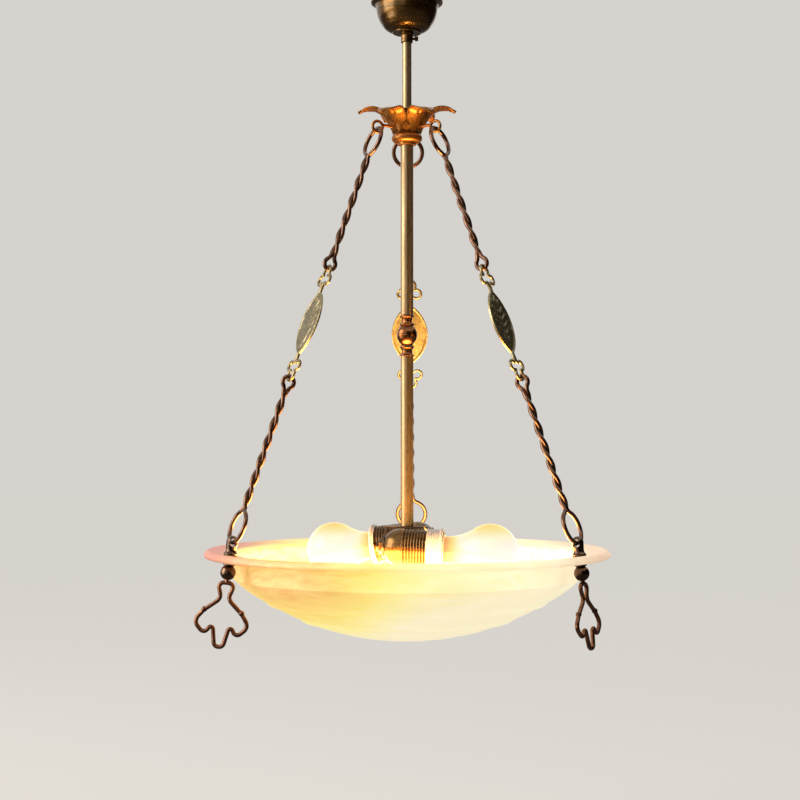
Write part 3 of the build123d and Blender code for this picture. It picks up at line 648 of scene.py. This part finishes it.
class PENDANT_OT_stem(bpy.types.Operator):
    """Tubes and the turned knob"""

    bl_idname = "pendant.stem"
    bl_label = "Stem"

    def execute(self, context):
        for node, outer, inner in (("upper_stem", 5.0, 3.5), ("middle_stem", 7.0, 5.0), ("lower_stem", 7.0, 5.0)):
            low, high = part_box(node)
            top, bottom = high[2] / MM, low[2] / MM
            outline = [(inner, bottom), (outer, bottom), (outer, top), (inner, top)]
            add_piece(f"{node}_tube", lathe(outline, 48), Matrix(), "tube_brass", "root", [node], bevel=0.3)
        top = KNOB_TOP_Z
        knob = trace(
            (5.0, top), (7.0, top), ((7.9, top - 1.5), (6.4, top - 2.9)), ((5.5, top - 6), (6.3, top - 9)),
            ((8.0, top - 10.4), (6.4, top - 11.8)), ((11.1, top - 21.7), (6.4, top - 31.6)), (5.9, top - 33.2),
            ((7.7, top - 35.0), (6.1, top - 36.8)), ((5.7, top - 40), (7.2, top - 43.2)), (8.3, top - 43.6),
            (8.3, top - 44.7), (5.0, top - 44.7), fine=14,
        )
        form = lathe(knob, 64)
        add_piece("stem_turned_knob", form, Matrix(), "turned_brass", "root", ["stem_knob"], crease=50, bevel=0.25)
        return {"FINISHED"}


# ---------------------------------------------------------------- crown


class PENDANT_OT_crown(bpy.types.Operator):
    """Cast flower of six petals on a moulded collar, with its three hanging eyes"""

    bl_idname = "pendant.crown"
    bl_label = "Crown"

    def execute(self, context):
        body = trace(
            (5.0, -202), (10.0, -202), (10.4, -199.4), ((16.8, -194.3), (13.2, -189.6)), ((18.6, -181), (21.0, -171)),
            ((21.8, -168.2), (24.6, -166.4)), (23.2, -165.4), ((20.4, -167.2), (19.6, -170.6)),
            ((16.0, -180), (9.5, -182)), (9.5, -172), (5.0, -172), fine=10,
        )
        add_piece("crown_collar", lathe(body, 96), Matrix(), "cast_brass", "root", ["crown"], bevel=0.3)
        petals = [
            placed(petal(droop), Matrix.Rotation(turn * pi / 3, 4, "Z")) for turn, droop in enumerate(PETAL_DROOPS)
        ]
        add_piece("crown_petals", join(*petals), Matrix(), "cast_brass", "root", subdivide=1, crease=180)
        forms = []
        for arm in ARMS:
            pivot = joint(f"arm_swing_{arm}")[0]
            turn = Matrix.Rotation(atan2(pivot.y, pivot.x), 4, "Z")
            shank = lathe([(0, 0), (1.8, 0.2), (1.8, 12.4), (0, 13)], 20, closed=False)
            forms.append(placed(ring(6.0, 1.6), turn @ turned((36, 0, -185), 90, "X")))
            forms.append(placed(shank, turn @ turned((17, 0, -183), 90, "Y")))
        add_piece("crown_hanging_eyes", join(*forms), Matrix(), "cast_brass", "root", ["crown_eyes"])
        return {"FINISHED"}


# How far the tips bend down, petal by petal from azimuth 0: the two nearest the front are lower.
PETAL_DROOPS = (0.0, 0.0, 0.0, 0.0, 8.0, 8.0)


def petal(droop):
    """One spoon-shaped petal at azimuth 0: it bulges over the bell, then flares and droops at its tip."""
    fold, middle, tip = 0.45 * droop, 0.95 * droop, 1.05 * droop
    spine = trace(
        (15.4, -190.4), ((18.6, -182.6), (24.2, -174.0)), ((28.2, -168.9 - 0.4 * fold), (33.4, -165.2 - fold)),
        ((42, -162.6 - middle), (52, -167.4 - tip)), fine=10,
    )
    last = len(spine) - 1
    form = bmesh.new()
    bmesh.ops.create_grid(form, x_segments=12, y_segments=last, size=1)
    for vert in form.verts:
        across = vert.co.x
        row = round((vert.co.y + 1) / 2 * last)
        radius, height = spine[row]
        before, after = spine[max(row - 1, 0)], spine[min(row + 1, last)]
        run = Vector((after[0] - before[0], after[1] - before[1])).normalized()
        inward = Vector((-run.y, run.x))
        # It keeps inside its sixth of the circle, narrows to a round tip and starts from a round foot.
        wide = min(radius * 0.577 - 1.3, 12.6)
        if radius > 36:
            wide *= max(0.0, 1 - ((radius - 36) / 16.0) ** 1.7) ** 0.75
        foot = min(1.0, row / 7)
        wide = max(wide * sqrt(1 - (1 - foot) ** 2), 0.6)
        # Its edges turn in, its midrib is a groove and its tip ripples.
        fullness = 4.2 if radius < 27 else max(0.0, 4.2 - (radius - 27) * 0.32)
        tuck = fullness * across**2 * min(1.0, wide / 9)
        groove = 0.8 * max(0.0, 1 - abs(across) / 0.16) if radius > 26 else 0.0
        shift = inward * (tuck + groove)
        ripple = 0.7 * sin(across * 7) * max(0.0, (radius - 32) / 20)
        vert.co = (radius + shift.x, wide * across, height + shift.y + ripple)
    cleaned(form, 0.05)
    bmesh.ops.solidify(form, geom=form.faces[:], thickness=1.7)
    bmesh.ops.recalc_face_normals(form, faces=form.faces)
    return form


# ---------------------------------------------------------------- arms


def eye(radius, offset, flare, fine):
    """A loop of bent wire from the right strand round to the left one. Its middle is at 0, 0, over the twist."""
    apex = -sqrt((radius + flare) ** 2 - (offset + flare) ** 2)
    lean = atan2(-apex, offset + flare)
    touch = (radius * cos(lean), -radius * sin(lean))
    bend = (offset + flare - flare * cos(lean / 2), apex + flare * sin(lean / 2))
    points = [(offset, apex)] + arc((offset, apex), bend, touch, 5)
    points += arc(touch, (0, radius), (-touch[0], touch[1]), fine)
    points += arc((-touch[0], touch[1]), (-bend[0], bend[1]), (-offset, apex), 5)
    return points, -apex


def link(top_eye, bottom_eye, start_turn, half_turns, strand, eye_wire):
    """A closed run of wire: an eye, one strand down, the other eye, and the other strand up.

    Each eye is (depth of its middle, radius, flare, whether it lies across the arm).
    """
    loops = []
    for depth, radius, flare, across in (top_eye, bottom_eye):
        flat, reach = eye(radius, strand, flare, 28 if radius > 10 else 18)
        loops.append((depth, flat, reach, across))
    top = loops[0][0] + loops[0][2]
    bottom = loops[1][0] - loops[1][2]
    points, radii = [], []

    def add_loop(depth, flat, across, flip):
        for p, q in flat:
            side, height = (-p, -depth - q) if flip else (p, -depth + q)
            points.append((0, side, height) if across else (side, 0, height))
            radii.append(eye_wire if abs(q) < 0.9 * max(abs(flat[0][1]), 1) else strand)

    def add_strand(turn, downwards):
        count = int((bottom - top) / 2.4)
        steps = range(1, count)
        for step in steps if downwards else reversed(steps):
            share = step / count
            angle = start_turn + turn + pi * half_turns * share
            depth = top + (bottom - top) * share
            points.append((strand * cos(angle), strand * sin(angle), -depth))
            radii.append(strand)

    add_loop(loops[0][0], loops[0][1], loops[0][3], False)
    add_strand(pi, True)
    add_loop(loops[1][0], loops[1][1], loops[1][3], True)
    add_strand(0, False)
    return wire(points, radii, sides=4)


# From a medallion's tip to the end of its trefoil loop, and the play between two wires
LOOP_REACH = 29.0
PLAY = 0.15


class PENDANT_OT_links(bpy.types.Operator):
    """Twisted wire links above and below each medallion"""

    bl_idname = "pendant.links"
    bl_label = "Twisted links"

    def execute(self, context):
        sizes, plates = context.scene.pendant_arms, context.scene.pendant_medallions
        wires = sizes.strand / MM, sizes.eye_wire / MM
        big, foot, small = sizes.big_eye / MM, sizes.foot_eye / MM, sizes.small_eye / MM
        # A small eye bears on the end of a trefoil loop, wire on wire.
        bearing = (plates.half_length - plates.loop_wire - sizes.eye_wire) / MM + LOOP_REACH - PLAY
        upper_small = MEDALLION_AT - bearing - small
        lower_small = MEDALLION_AT + bearing + small
        for arm in ARMS:
            head, neck = (big, big, 5.0, True), (upper_small, small, 8.0, False)
            upper = link(head, neck, pi / 2, sizes.upper_half_turns, *wires)
            neck, head = (lower_small, small, 8.0, False), (ARM_LENGTH - foot, foot, 5.0, True)
            lower = link(neck, head, 0.0, sizes.lower_half_turns, *wires)
            for level, form in (("upper", upper), ("lower", lower)):
                add_piece(
                    f"{level}_twisted_link_{arm}", form, arm_place(arm), "brass_wire", f"arm_{arm}",
                    [f"{level}_link_{arm}"], crease=60,
                )
        return {"FINISHED"}


# ---------------------------------------------------------------- medallions


def leaf_height(x, y, root, tip, width):
    """Height from 0 to 1 of a pointed leaf lying from root to tip."""
    rx, ry = root
    dx, dy = tip[0] - rx, tip[1] - ry
    run = hypot(dx, dy)
    along = ((x - rx) * dx + (y - ry) * dy) / run
    side = abs((x - rx) * dy - (y - ry) * dx) / run
    share = along / run
    if not 0 < share < 1:
        return 0.0
    half = width * sin(pi * share**0.75) ** 0.8
    if side >= half:
        return 0.0
    edge = 1 - (side / half) ** 2
    vein = 0.35 * max(0.0, 1 - side / 0.45)
    return edge**0.5 - vein


# Leaves on a medallion, each by its root, its tip and its half width: a rib, a bud and six pairs beside them.
PALMETTE = [((0, -28), (0, 30), 1.3), ((0, 18), (0, 31), 3.2)] + [
    ((0.6 * turn, step * 8.0 - 24), (spread * turn, step * 8.0 - 13.5), 2.6)
    for step, spread in enumerate((6.5, 10.5, 13.5, 13.8, 11.5, 7.5))
    for turn in (-1, 1)
]


class PENDANT_OT_medallions(bpy.types.Operator):
    """Pointed oval plates with a raised rim, low leaves on the face and a trefoil loop at each tip"""

    bl_idname = "pendant.medallions"
    bl_label = "Medallions"

    def execute(self, context):
        sizes = context.scene.pendant_medallions
        for arm in ARMS:
            place = arm_place(arm) @ Matrix.Translation((0, 0, -MEDALLION_AT)) @ FACE
            form = medallion_plate(sizes)
            for turn in (0, pi):
                loop = trefoil_loop(sizes.loop_wire / MM, sizes.half_length / MM)
                join(form, placed(loop, Matrix.Rotation(turn, 4, "Z")))
            add_piece(
                f"medallion_cast_{arm}", form, place, "chased_brass", f"medallion_{arm}", [f"medallion_{arm}"],
                crease=50, slot="cast_brass",
            )
        return {"FINISHED"}


def rim_rise(inside):
    """Height of the raised rim over the plate's field, by the distance from the edge."""
    return 0.9 * min(1.0, max(0.0, 1 - abs(inside - 1.1) / 1.3)) ** 0.6


def medallion_plate(sizes):
    """The plate in its own plane: X across, Y along, Z out of its face."""
    wide, long, thick = sizes.half_width / MM, sizes.half_length / MM, sizes.thickness / MM
    side_arc = (wide**2 + long**2) / (2 * wide)
    half_lean = asin(long / side_arc) / 2
    via = (wide - side_arc + side_arc * cos(half_lean), side_arc * sin(half_lean))
    quarter = trace((wide, 0), (via, (0, long)), fine=34)
    rows = [(w, -y) for w, y in reversed(quarter[1:])] + quarter
    last = len(rows) - 1
    form = bmesh.new()
    bmesh.ops.create_grid(form, x_segments=48, y_segments=last, size=1)
    for vert in form.verts:
        across = vert.co.x
        wide_here, y = rows[round((vert.co.y + 1) / 2 * last)]
        x = wide_here * across
        # Distance to the edge decides what is rim and what is field.
        inside = side_arc - hypot(abs(x) + side_arc - wide, y)
        bead = 0.45 * max(0.0, 1 - abs(inside - 3.4) / 0.5)
        leaves = max(leaf_height(x, y, *leaf) for leaf in PALMETTE) if inside > 3.2 else 0.0
        height = thick / 2 - 0.9 + rim_rise(inside) + bead + leaves * sizes.relief / MM
        if inside <= 0:
            height = thick / 2 - 0.5
        vert.co = (x, y, height)
    made = bmesh.ops.extrude_face_region(form, geom=form.faces[:], use_keep_orig=True)
    for item in made["geom"]:
        if isinstance(item, bmesh.types.BMVert):
            # The back is smooth inside its rim.
            inside = side_arc - hypot(abs(item.co.x) + side_arc - wide, item.co.y)
            item.co.z = 0.4 - thick / 2 - 0.5 * rim_rise(inside)
    return cleaned(form, 0.01)


def trefoil_loop(radius, tip):
    """Open loop of cast wire at a tip: two side lobes and a larger end lobe."""
    half = [(1.0, -3.0), (1.1, 3.0), (1.6, 7.0)]
    for (x, y), lobe, turns in (((8.3, 12.5), 5.2, range(-150, 121, 15)), ((0.0, 22.0), 7.0, range(-40, 91, 13))):
        half += [(x + lobe * cos(radians(turn)), y + lobe * sin(radians(turn))) for turn in turns]
    path = half + [(-x, y) for x, y in reversed(half[:-1])]
    points = [(x, y + tip, 0) for x, y in path]
    return wire(points, [radius] * len(points), sides=3, smooth=True)


# ---------------------------------------------------------------- drops


# Right half of a trefoil drop, from its stud down: each corner and how round it is.
DROP_CORNERS = [
    ((9.0, -10.6), 4.6), ((3.4, -26.6), 8.0), ((19.4, -40.2), 3.0), ((28.4, -52.4), 7.5), ((16.2, -64.6), 4.6),
    ((9.0, -51.6), 2.5), ((4.4, -75.5), 4.6),
]
BALL_NUT_Z = -30.5
# How far each drop has turned on its bolt.
DROP_TURNS = {"back": 90.0, "left": -30.0, "right": 90.0}


class PENDANT_OT_drops(bpy.types.Operator):
    """Open cast trefoils under the ball nuts"""

    bl_idname = "pendant.drops"
    bl_label = "Trefoil drops"

    def execute(self, context):
        sizes = context.scene.pendant_drops
        corners = DROP_CORNERS + [((-x, y), radius) for (x, y), radius in reversed(DROP_CORNERS)]
        path = rounded(corners)
        for arm in ARMS:
            form = wire([(x, y, 0) for x, y in path], [sizes.bar / MM] * len(path), sides=4)
            for side in (-1, 1):
                join(form, ball(sizes.knob / MM, (side * 19.2, -39.6, 0)))
            stud = lathe([(0, 0), (2.4, 0), (2.4, 5.2), (0, 5.2)], 24, closed=False)
            join(form, placed(stud, turned((0, -10.2, 0), -90, "X")))
            place = bolt_place(arm) @ turned((0, 0, BALL_NUT_Z), DROP_TURNS[arm], "Z")
            place = place @ Matrix.Rotation(pi / 2, 4, "X")
            add_piece(
                f"trefoil_cast_{arm}", form, place, "browned_casting", f"finial_{arm}", [f"trefoil_drop_{arm}"],
                crease=60, slot="cast_brass",
            )
        return {"FINISHED"}


# ---------------------------------------------------------------- bowl


RIM_Z = -641.5
BOWL_BOTTOM_Z = -739.5
# Radii of the ball that the cap is cut from, outside and inside, of the flange's neck and of its crest
OUTSIDE_R = 293.0
INSIDE_R = 287.0
NECK_R = 188
CREST_R = 212
FLANGE_LEAN = radians(8.0)
FLANGE_T = 7.0


def cap_z(radius, ball_radius):
    """Height of the bowl's cap at a radius, for a ball of this size."""
    return BOWL_BOTTOM_Z + OUTSIDE_R - sqrt(ball_radius**2 - radius**2)


def cap_line(reach, ball_radius, count):
    """Points of the cap's outline, from beside its middle out to a radius."""
    radii = [step * reach / count for step in range(1, count + 1)]
    return [(radius, cap_z(radius, ball_radius)) for radius in radii]


def flange_z(radius):
    """Height of the flange's upper face."""
    return RIM_Z - (CREST_R - radius) * tan(FLANGE_LEAN)


class PENDANT_OT_bowl(bpy.types.Operator):
    """Pressed glass bowl with raised rings, low feathered relief, a neck and a rising lip"""

    bl_idname = "pendant.bowl"
    bl_label = "Glass bowl"

    def execute(self, context):
        drop = FLANGE_T / cos(FLANGE_LEAN)
        under_neck = flange_z(NECK_R) - drop
        lip = trace(
            (NECK_R, under_neck - 1.5), ((188.6, under_neck - 0.3), (190, flange_z(190) - drop)),
            (202, flange_z(202) - drop), (214, flange_z(214) - drop), ((217.3, RIM_Z - 7.4), (218.5, RIM_Z - 4.4)),
            ((216.3, RIM_Z - 1.3), (CREST_R, RIM_Z)), (200, flange_z(200)), (186.5, flange_z(186.5)),
            ((182.7, RIM_Z - 6.0), (181.5, RIM_Z - 9.5)), fine=8,
        )
        outside = [(0, cap_z(0, OUTSIDE_R))] + cap_line(187.5, OUTSIDE_R, 94)
        inside = cap_line(181.5, INSIDE_R, 60)[::-1] + [(0, cap_z(0, INSIDE_R))]
        form = lathe(outside + lip + inside, 192, closed=False)
        for vert in form.verts:
            relieve(vert)
        add_piece("glass_bowl_pressed", form, Matrix(), "bowl_glass", "bowl", ["glass_bowl"], crease=40)
        return {"FINISHED"}


def relieve(vert):
    """Raises the pressed pattern on the bowl's outer face."""
    radius = hypot(vert.co.x, vert.co.y)
    if radius < 1 or radius > 187.6 or vert.co.z > cap_z(radius, 290.0):
        return
    around = atan2(vert.co.y, vert.co.x)
    rise = 0.0
    for ridge in (112.0, 149.0):
        rise += 1.8 * max(0.0, 1 - ((radius - ridge) / 5.0) ** 2) ** 2
    if radius > 152.5:
        # Lobes rise from the outer ring to the neck.
        share = (radius - 152.5) / 34.5
        lobe = abs(sin(around * 18 + 0.35 * sin(share * 6)))
        rise += 1.0 * sin(pi * min(1.0, share)) * lobe**0.6
        rise += 0.25 * sin(share * 34 + 5 * lobe) * sin(pi * share)
    elif radius < 108:
        rise += 0.35 * sin(around * 12 + radius * 0.09) * min(1.0, radius / 60)
    push = rise / OUTSIDE_R
    vert.co.x *= 1 + push
    vert.co.y *= 1 + push
    vert.co.z -= rise * (1 - radius / 400)


# ---------------------------------------------------------------- lamps


class PENDANT_OT_holders(bpy.types.Operator):
    """Domed caps, threaded skirts and white shade rings"""

    bl_idname = "pendant.holders"
    bl_label = "Lampholders"

    def execute(self, context):
        for side in SIDES:
            place = lamp_place(side)
            cap = trace(
                (5, -22), (11, -22), ((17.6, -15.5), (20, -6)), (20, -3), (18.5, -3), (18.5, -6),
                ((16.4, -14.6), (10.4, -20.5)), (5, -20.5), fine=10,
            )
            # The ring screws along the skirt, to a different place on each lamp.
            start, end = {"right": (23.5, 40.5), "left": (39.5, 44.5)}[side]
            skirt = [(18.5, -3), (19.9, -3), (20.4, -2.4), (20.4, -1.2)]
            at = 0.0
            while at < end - 2.6:
                root, crest = ((19.05, at + 0.35), (19.6, at + 0.8)), ((20.45, at + 1.6), (19.6, at + 2.4))
                skirt += trace((18.95, at), root, crest, fine=4)
                at += 3.1
            skirt += [(19.6, end + 0.3), (18.5, end + 0.3)]
            grip = [(20.5, start + 0.2), (21.2, start)]
            at = start + 0.9
            while at < end - 4.4:
                grip += [(21.5, at), (20.95, at + 0.7), (20.95, at + 0.9), (21.5, at + 1.6)]
                at += 2.0
            grip += trace(
                (21.4, end - 3.3), (22.3, end - 2.8), ((22.75, end - 1.6), (22.3, end - 0.4)), (21.8, end), (20.5, end),
                fine=5,
            )
            for name, outline, steps, finish, node, edge in (
                ("holder_domed_cap", cap, 64, "aged_brass", "holder_cap", {"bevel": 0.3}),
                ("holder_threaded_skirt", skirt, 64, "aged_brass", "holder_shell", {"crease": 25}),
                ("shade_porcelain_ring", grip, 72, "white_porcelain", "shade_ring", {"crease": 50}),
            ):
                add_piece(f"{name}_{side}", lathe(outline, steps), place, finish, "root", [f"{node}_{side}"], **edge)
        return {"FINISHED"}


# A bulb's round head, and how far its middle lies along the lamp
GLOBE_R = 30
GLOBE_AT = 91.3


class PENDANT_OT_bulbs(bpy.types.Operator):
    """Round-headed bulbs with their screw caps, glass mounts and filaments"""

    bl_idname = "pendant.bulbs"
    bl_label = "Bulbs"

    def execute(self, context):
        for side in SIDES:
            place = lamp_place(side)
            body = f"bulb_{side}"
            neck, brow = radians(40), radians(65)
            outer = trace(
                (13.3, 38.0), (14.4, 43.0), ((17.2, 60.0), (GLOBE_R * cos(neck), GLOBE_AT - GLOBE_R * sin(neck))),
                ((GLOBE_R * sin(brow), GLOBE_AT + GLOBE_R * cos(brow)), (0, GLOBE_AT + GLOBE_R)), fine=18,
            )
            inner = [(max(r - 0.9, 0), z - (0.9 if r < 1 else 0.0)) for r, z in reversed(outer)]
            add_piece(
                f"bulb_envelope_{side}", lathe(outer + inner, 64), place, f"bulb_glass_{side}", body,
                [f"bulb_glass_{side}"], crease=80, slot="bulb_glass",
            ).visible_shadow = False
            stalk = trace((0, 38.2), (9.0, 38.2), ((6.5, 46), (3.0, 58)), (2.2, 74), ((2.6, 75.5), (0, 77)), fine=6)
            mount = lathe(stalk, 24, closed=False)
            add_piece(f"bulb_mount_{side}", mount, place, "mount_glass", body, slot="bulb_glass")
            zigzag = []
            for step in range(13):
                turn = radians(150 + step * 20)
                zigzag.append((13.0 * cos(turn), 13.0 * sin(turn), 96.0 if step % 2 else 82.0))
            thread = wire(zigzag, [0.35] * 13, closed=False, sides=2)
            add_piece(f"bulb_filament_{side}", thread, place, "filament", body, slot="bulb_cap")
            for turn, letter in ((-1, "a"), (1, "b")):
                route = [(1.6 * turn, 0, 73), (6.0 * turn, 0, 80), (12.8 * turn, 0, 88)]
                lead = wire(route, [0.4] * 3, closed=False, sides=2)
                add_piece(f"bulb_lead_{side}_{letter}", lead, place, "plated_steel", body)
            cap = [(0, 8.2), (4.5, 8.2), (5.5, 9.6), (10.4, 12.2)]
            for turn in range(5):
                begin = 13.0 + turn * 3.6
                cap += trace((12.2, begin), ((13.1, begin + 1.1), (12.2, begin + 2.2)), fine=5)
            cap += [(13.0, 33.0), (13.3, 38.0), (0, 38.0)]
            form = lathe(cap, 48, closed=False)
            add_piece(f"bulb_screw_cap_{side}", form, place, "bulb_cap", body, [f"bulb_base_{side}"], crease=60)
        return {"FINISHED"}


# ---------------------------------------------------------------- carried-over nodes


class PENDANT_OT_fittings(bpy.types.Operator):
    """Finishes the machined pieces whose solids already have the right shape"""

    bl_idname = "pendant.fittings"
    bl_label = "Fittings"

    def execute(self, context):
        slots = {entry["node"]: entry["material_slot"] for entry in FRAME["record"]["subparts"]}
        for name, node in FRAME["nodes"].items():
            node.data.materials.clear()
            finish = slots[name]
            if name.startswith(("rim_bolt", "ball_nut")):
                finish = "machined_brass"
            elif name in ("cluster_bracket", "cluster_nut", "holder_locknuts", "holder_nipples"):
                finish = "browned_sheet"
            node.data.materials.append(material(finish))
        return {"FINISHED"}


# ---------------------------------------------------------------- studio


class PENDANT_OT_studio(bpy.types.Operator):
    """Pale floor, soft lights, the bowl's own warm glow and the camera"""

    bl_idname = "pendant.studio"
    bl_label = "Studio"

    def execute(self, context):
        scene = context.scene
        look = scene.pendant_finishes
        scene.view_settings.view_transform = "Standard"
        form = bmesh.new()
        bmesh.ops.create_circle(form, cap_ends=True, segments=96, radius=14.0)
        floor = add_object("studio_floor", form)
        floor.location.z = -1.02
        paint, add, coat, output = new_material("matt_floor_paint")
        # Painted dark reflection: metal sees the floor darker than the camera does.
        glossy = add("ShaderNodeLightPath").outputs["Is Glossy Ray"]
        tone = add("ShaderNodeMix", {"Factor": glossy, "A": opaque("9C9892"), "B": opaque("4E4842")}, data_type="RGBA")
        feed(coat, {"Base Color": tone, "Roughness": 0.9, "Emission Color": (*look.floor_tint, 1)})
        feed(coat, {"Emission Strength": self.seen_part(add, 0.0, 0.66, 0.04)})
        floor.data.materials.append(paint)

        world = bpy.data.worlds.new("studio_world")
        world.use_nodes = True
        world.node_tree.nodes.clear()
        add = partial(add_node, world.node_tree)
        strength = self.seen_part(add, 0.42, 0.86, 0.86)
        sky = add("ShaderNodeBackground", {"Color": (*look.floor_tint, 1), "Strength": strength})
        add("ShaderNodeOutputWorld", {"Surface": sky})
        scene.world = world

        middle, daylight = (0, 0, -0.3), linear("FFF6EA")
        self.add_light(
            "key_softbox", "AREA", (-2.2, -0.75, 0.42), 50, daylight, middle, size=1.9, size_y=2.0, shape="RECTANGLE"
        )
        low = self.add_light("low_softbox", "AREA", (-1.35, -0.45, -0.98), 7, daylight, middle, size=0.9)
        # The low lamp stands on the floor and would burn a white patch into it, so it doesn't light the floor.
        unlit = bpy.data.collections.new("out_of_low_softbox")
        unlit.objects.link(floor)
        unlit.collection_objects[0].light_linking.link_state = "EXCLUDE"
        low.light_linking.receiver_collection = unlit
        fill = self.add_light("fill_softbox", "AREA", (1.9, -0.9, 0.2), 12, linear("F2F5FF"), (0, 0, -0.4), size=1.4)
        fill.visible_glossy = False
        self.add_light("bowl_glow", "AREA", (0, 0, -0.674), 6.0, look.glow_tint, (0, 0, 0), size=0.33, shape="DISK")
        for side in SIDES:
            heart = bulb_heart(side)[0]
            self.add_light(f"bulb_light_{side}", "POINT", heart, 0.09, linear("FFD9A0"), shadow_soft_size=0.026)

        # A dark card round the front and the right, seen only in reflections, gives the metal its dark side.
        form = bmesh.new()
        rim = [form.verts.new((2.7 * cos(radians(a)), 2.7 * sin(radians(a)), -0.95)) for a in range(-96, 62, 6)]
        edges = [form.edges.new(pair) for pair in zip(rim, rim[1:])]
        raised = bmesh.ops.extrude_edge_only(form, edges=edges)["geom"]
        bmesh.ops.translate(form, verts=[v for v in raised if isinstance(v, bmesh.types.BMVert)], vec=(0, 0, 2.4))
        card = add_object("dark_card", form)
        card.visible_camera = card.visible_diffuse = card.visible_shadow = card.visible_transmission = False
        cloth, add, shader, output = new_material("black_card")
        feed(shader, {"Base Color": opaque("1E1916"), "Roughness": 0.9})
        card.data.materials.append(cloth)

        camera = bpy.data.cameras.new("photo_camera")
        camera.sensor_width = 36.0
        camera.lens = 67.5
        holder = bpy.data.objects.new("photo_camera", camera)
        # A little to the right of the stem and lower than its knob, looking slightly up.
        holder.location = (0.045, -1.63, -0.53)
        holder.rotation_euler = (radians(90) + atan2(45.5, 1500), 0, radians(1.848))
        scene.collection.objects.link(holder)
        scene.camera = holder
        return {"FINISHED"}

    def seen_part(self, add, unseen, seen, mirrored):
        """A strength for rays that carry light, one for what the camera sees and one for what metal reflects."""
        ray = add("ShaderNodeLightPath").outputs
        direct = add("ShaderNodeMath", {0: ray["Is Camera Ray"], 1: ray["Is Transmission Ray"]}, operation="MAXIMUM")
        level = add("ShaderNodeMapRange", {"Value": ray["Is Glossy Ray"], "To Min": unseen, "To Max": mirrored})
        return add("ShaderNodeMix", {"Factor": direct, "A": level, "B": seen})

    def add_light(self, name, kind, place, power, tint, target=None, **settings):
        """A lamp that the camera doesn't see, facing its target if it has one."""
        light = bpy.data.lights.new(name, kind)
        light.energy = power
        light.color = tuple(tint)
        for key, value in settings.items():
            setattr(light, key, value)
        lamp = bpy.data.objects.new(name, light)
        lamp.location = place
        if target:
            lamp.rotation_euler = (Vector(target) - Vector(place)).to_track_quat("-Z", "Y").to_euler()
        lamp.visible_camera = False
        bpy.context.scene.collection.objects.link(lamp)
        return lamp


# ---------------------------------------------------------------- add-on


OPERATORS = (
    PENDANT_OT_studio,
    PENDANT_OT_canopy,
    PENDANT_OT_stem,
    PENDANT_OT_crown,
    PENDANT_OT_links,
    PENDANT_OT_medallions,
    PENDANT_OT_drops,
    PENDANT_OT_bowl,
    PENDANT_OT_holders,
    PENDANT_OT_bulbs,
    PENDANT_OT_fittings,
)
GROUPS = {
    "pendant_arms": PendantArmSizes,
    "pendant_medallions": PendantMedallionSizes,
    "pendant_drops": PendantDropSizes,
    "pendant_finishes": PendantFinishes,
}


class PENDANT_PT_panel(bpy.types.Panel):
    """Sizes, colours and makers of the bowl pendant"""

    bl_idname = "PENDANT_PT_panel"
    bl_label = "Bowl Pendant"
    bl_space_type = "VIEW_3D"
    bl_region_type = "UI"
    bl_category = "Pendant"

    def draw(self, context):
        for name, group in GROUPS.items():
            values = getattr(context.scene, name)
            box = self.layout.box()
            for key in group.__annotations__:
                box.prop(values, key)
        for maker in OPERATORS:
            self.layout.operator(maker.bl_idname)


def register():
    """Registers the sizes, the makers and the panel."""
    for name, group in GROUPS.items():
        bpy.utils.register_class(group)
        setattr(bpy.types.Scene, name, bpy.props.PointerProperty(type=group))
    for maker in OPERATORS:
        bpy.utils.register_class(maker)
    bpy.utils.register_class(PENDANT_PT_panel)


def unregister():
    """Takes them out again."""
    bpy.utils.unregister_class(PENDANT_PT_panel)
    for maker in reversed(OPERATORS):
        bpy.utils.unregister_class(maker)
    for name, group in GROUPS.items():
        delattr(bpy.types.Scene, name)
        bpy.utils.unregister_class(group)


def main():
    """Makes every piece."""
    register()
    for maker in OPERATORS:
        family, verb = maker.bl_idname.split(".")
        getattr(getattr(bpy.ops, family), verb)()


if __name__ == "__main__":
    main()
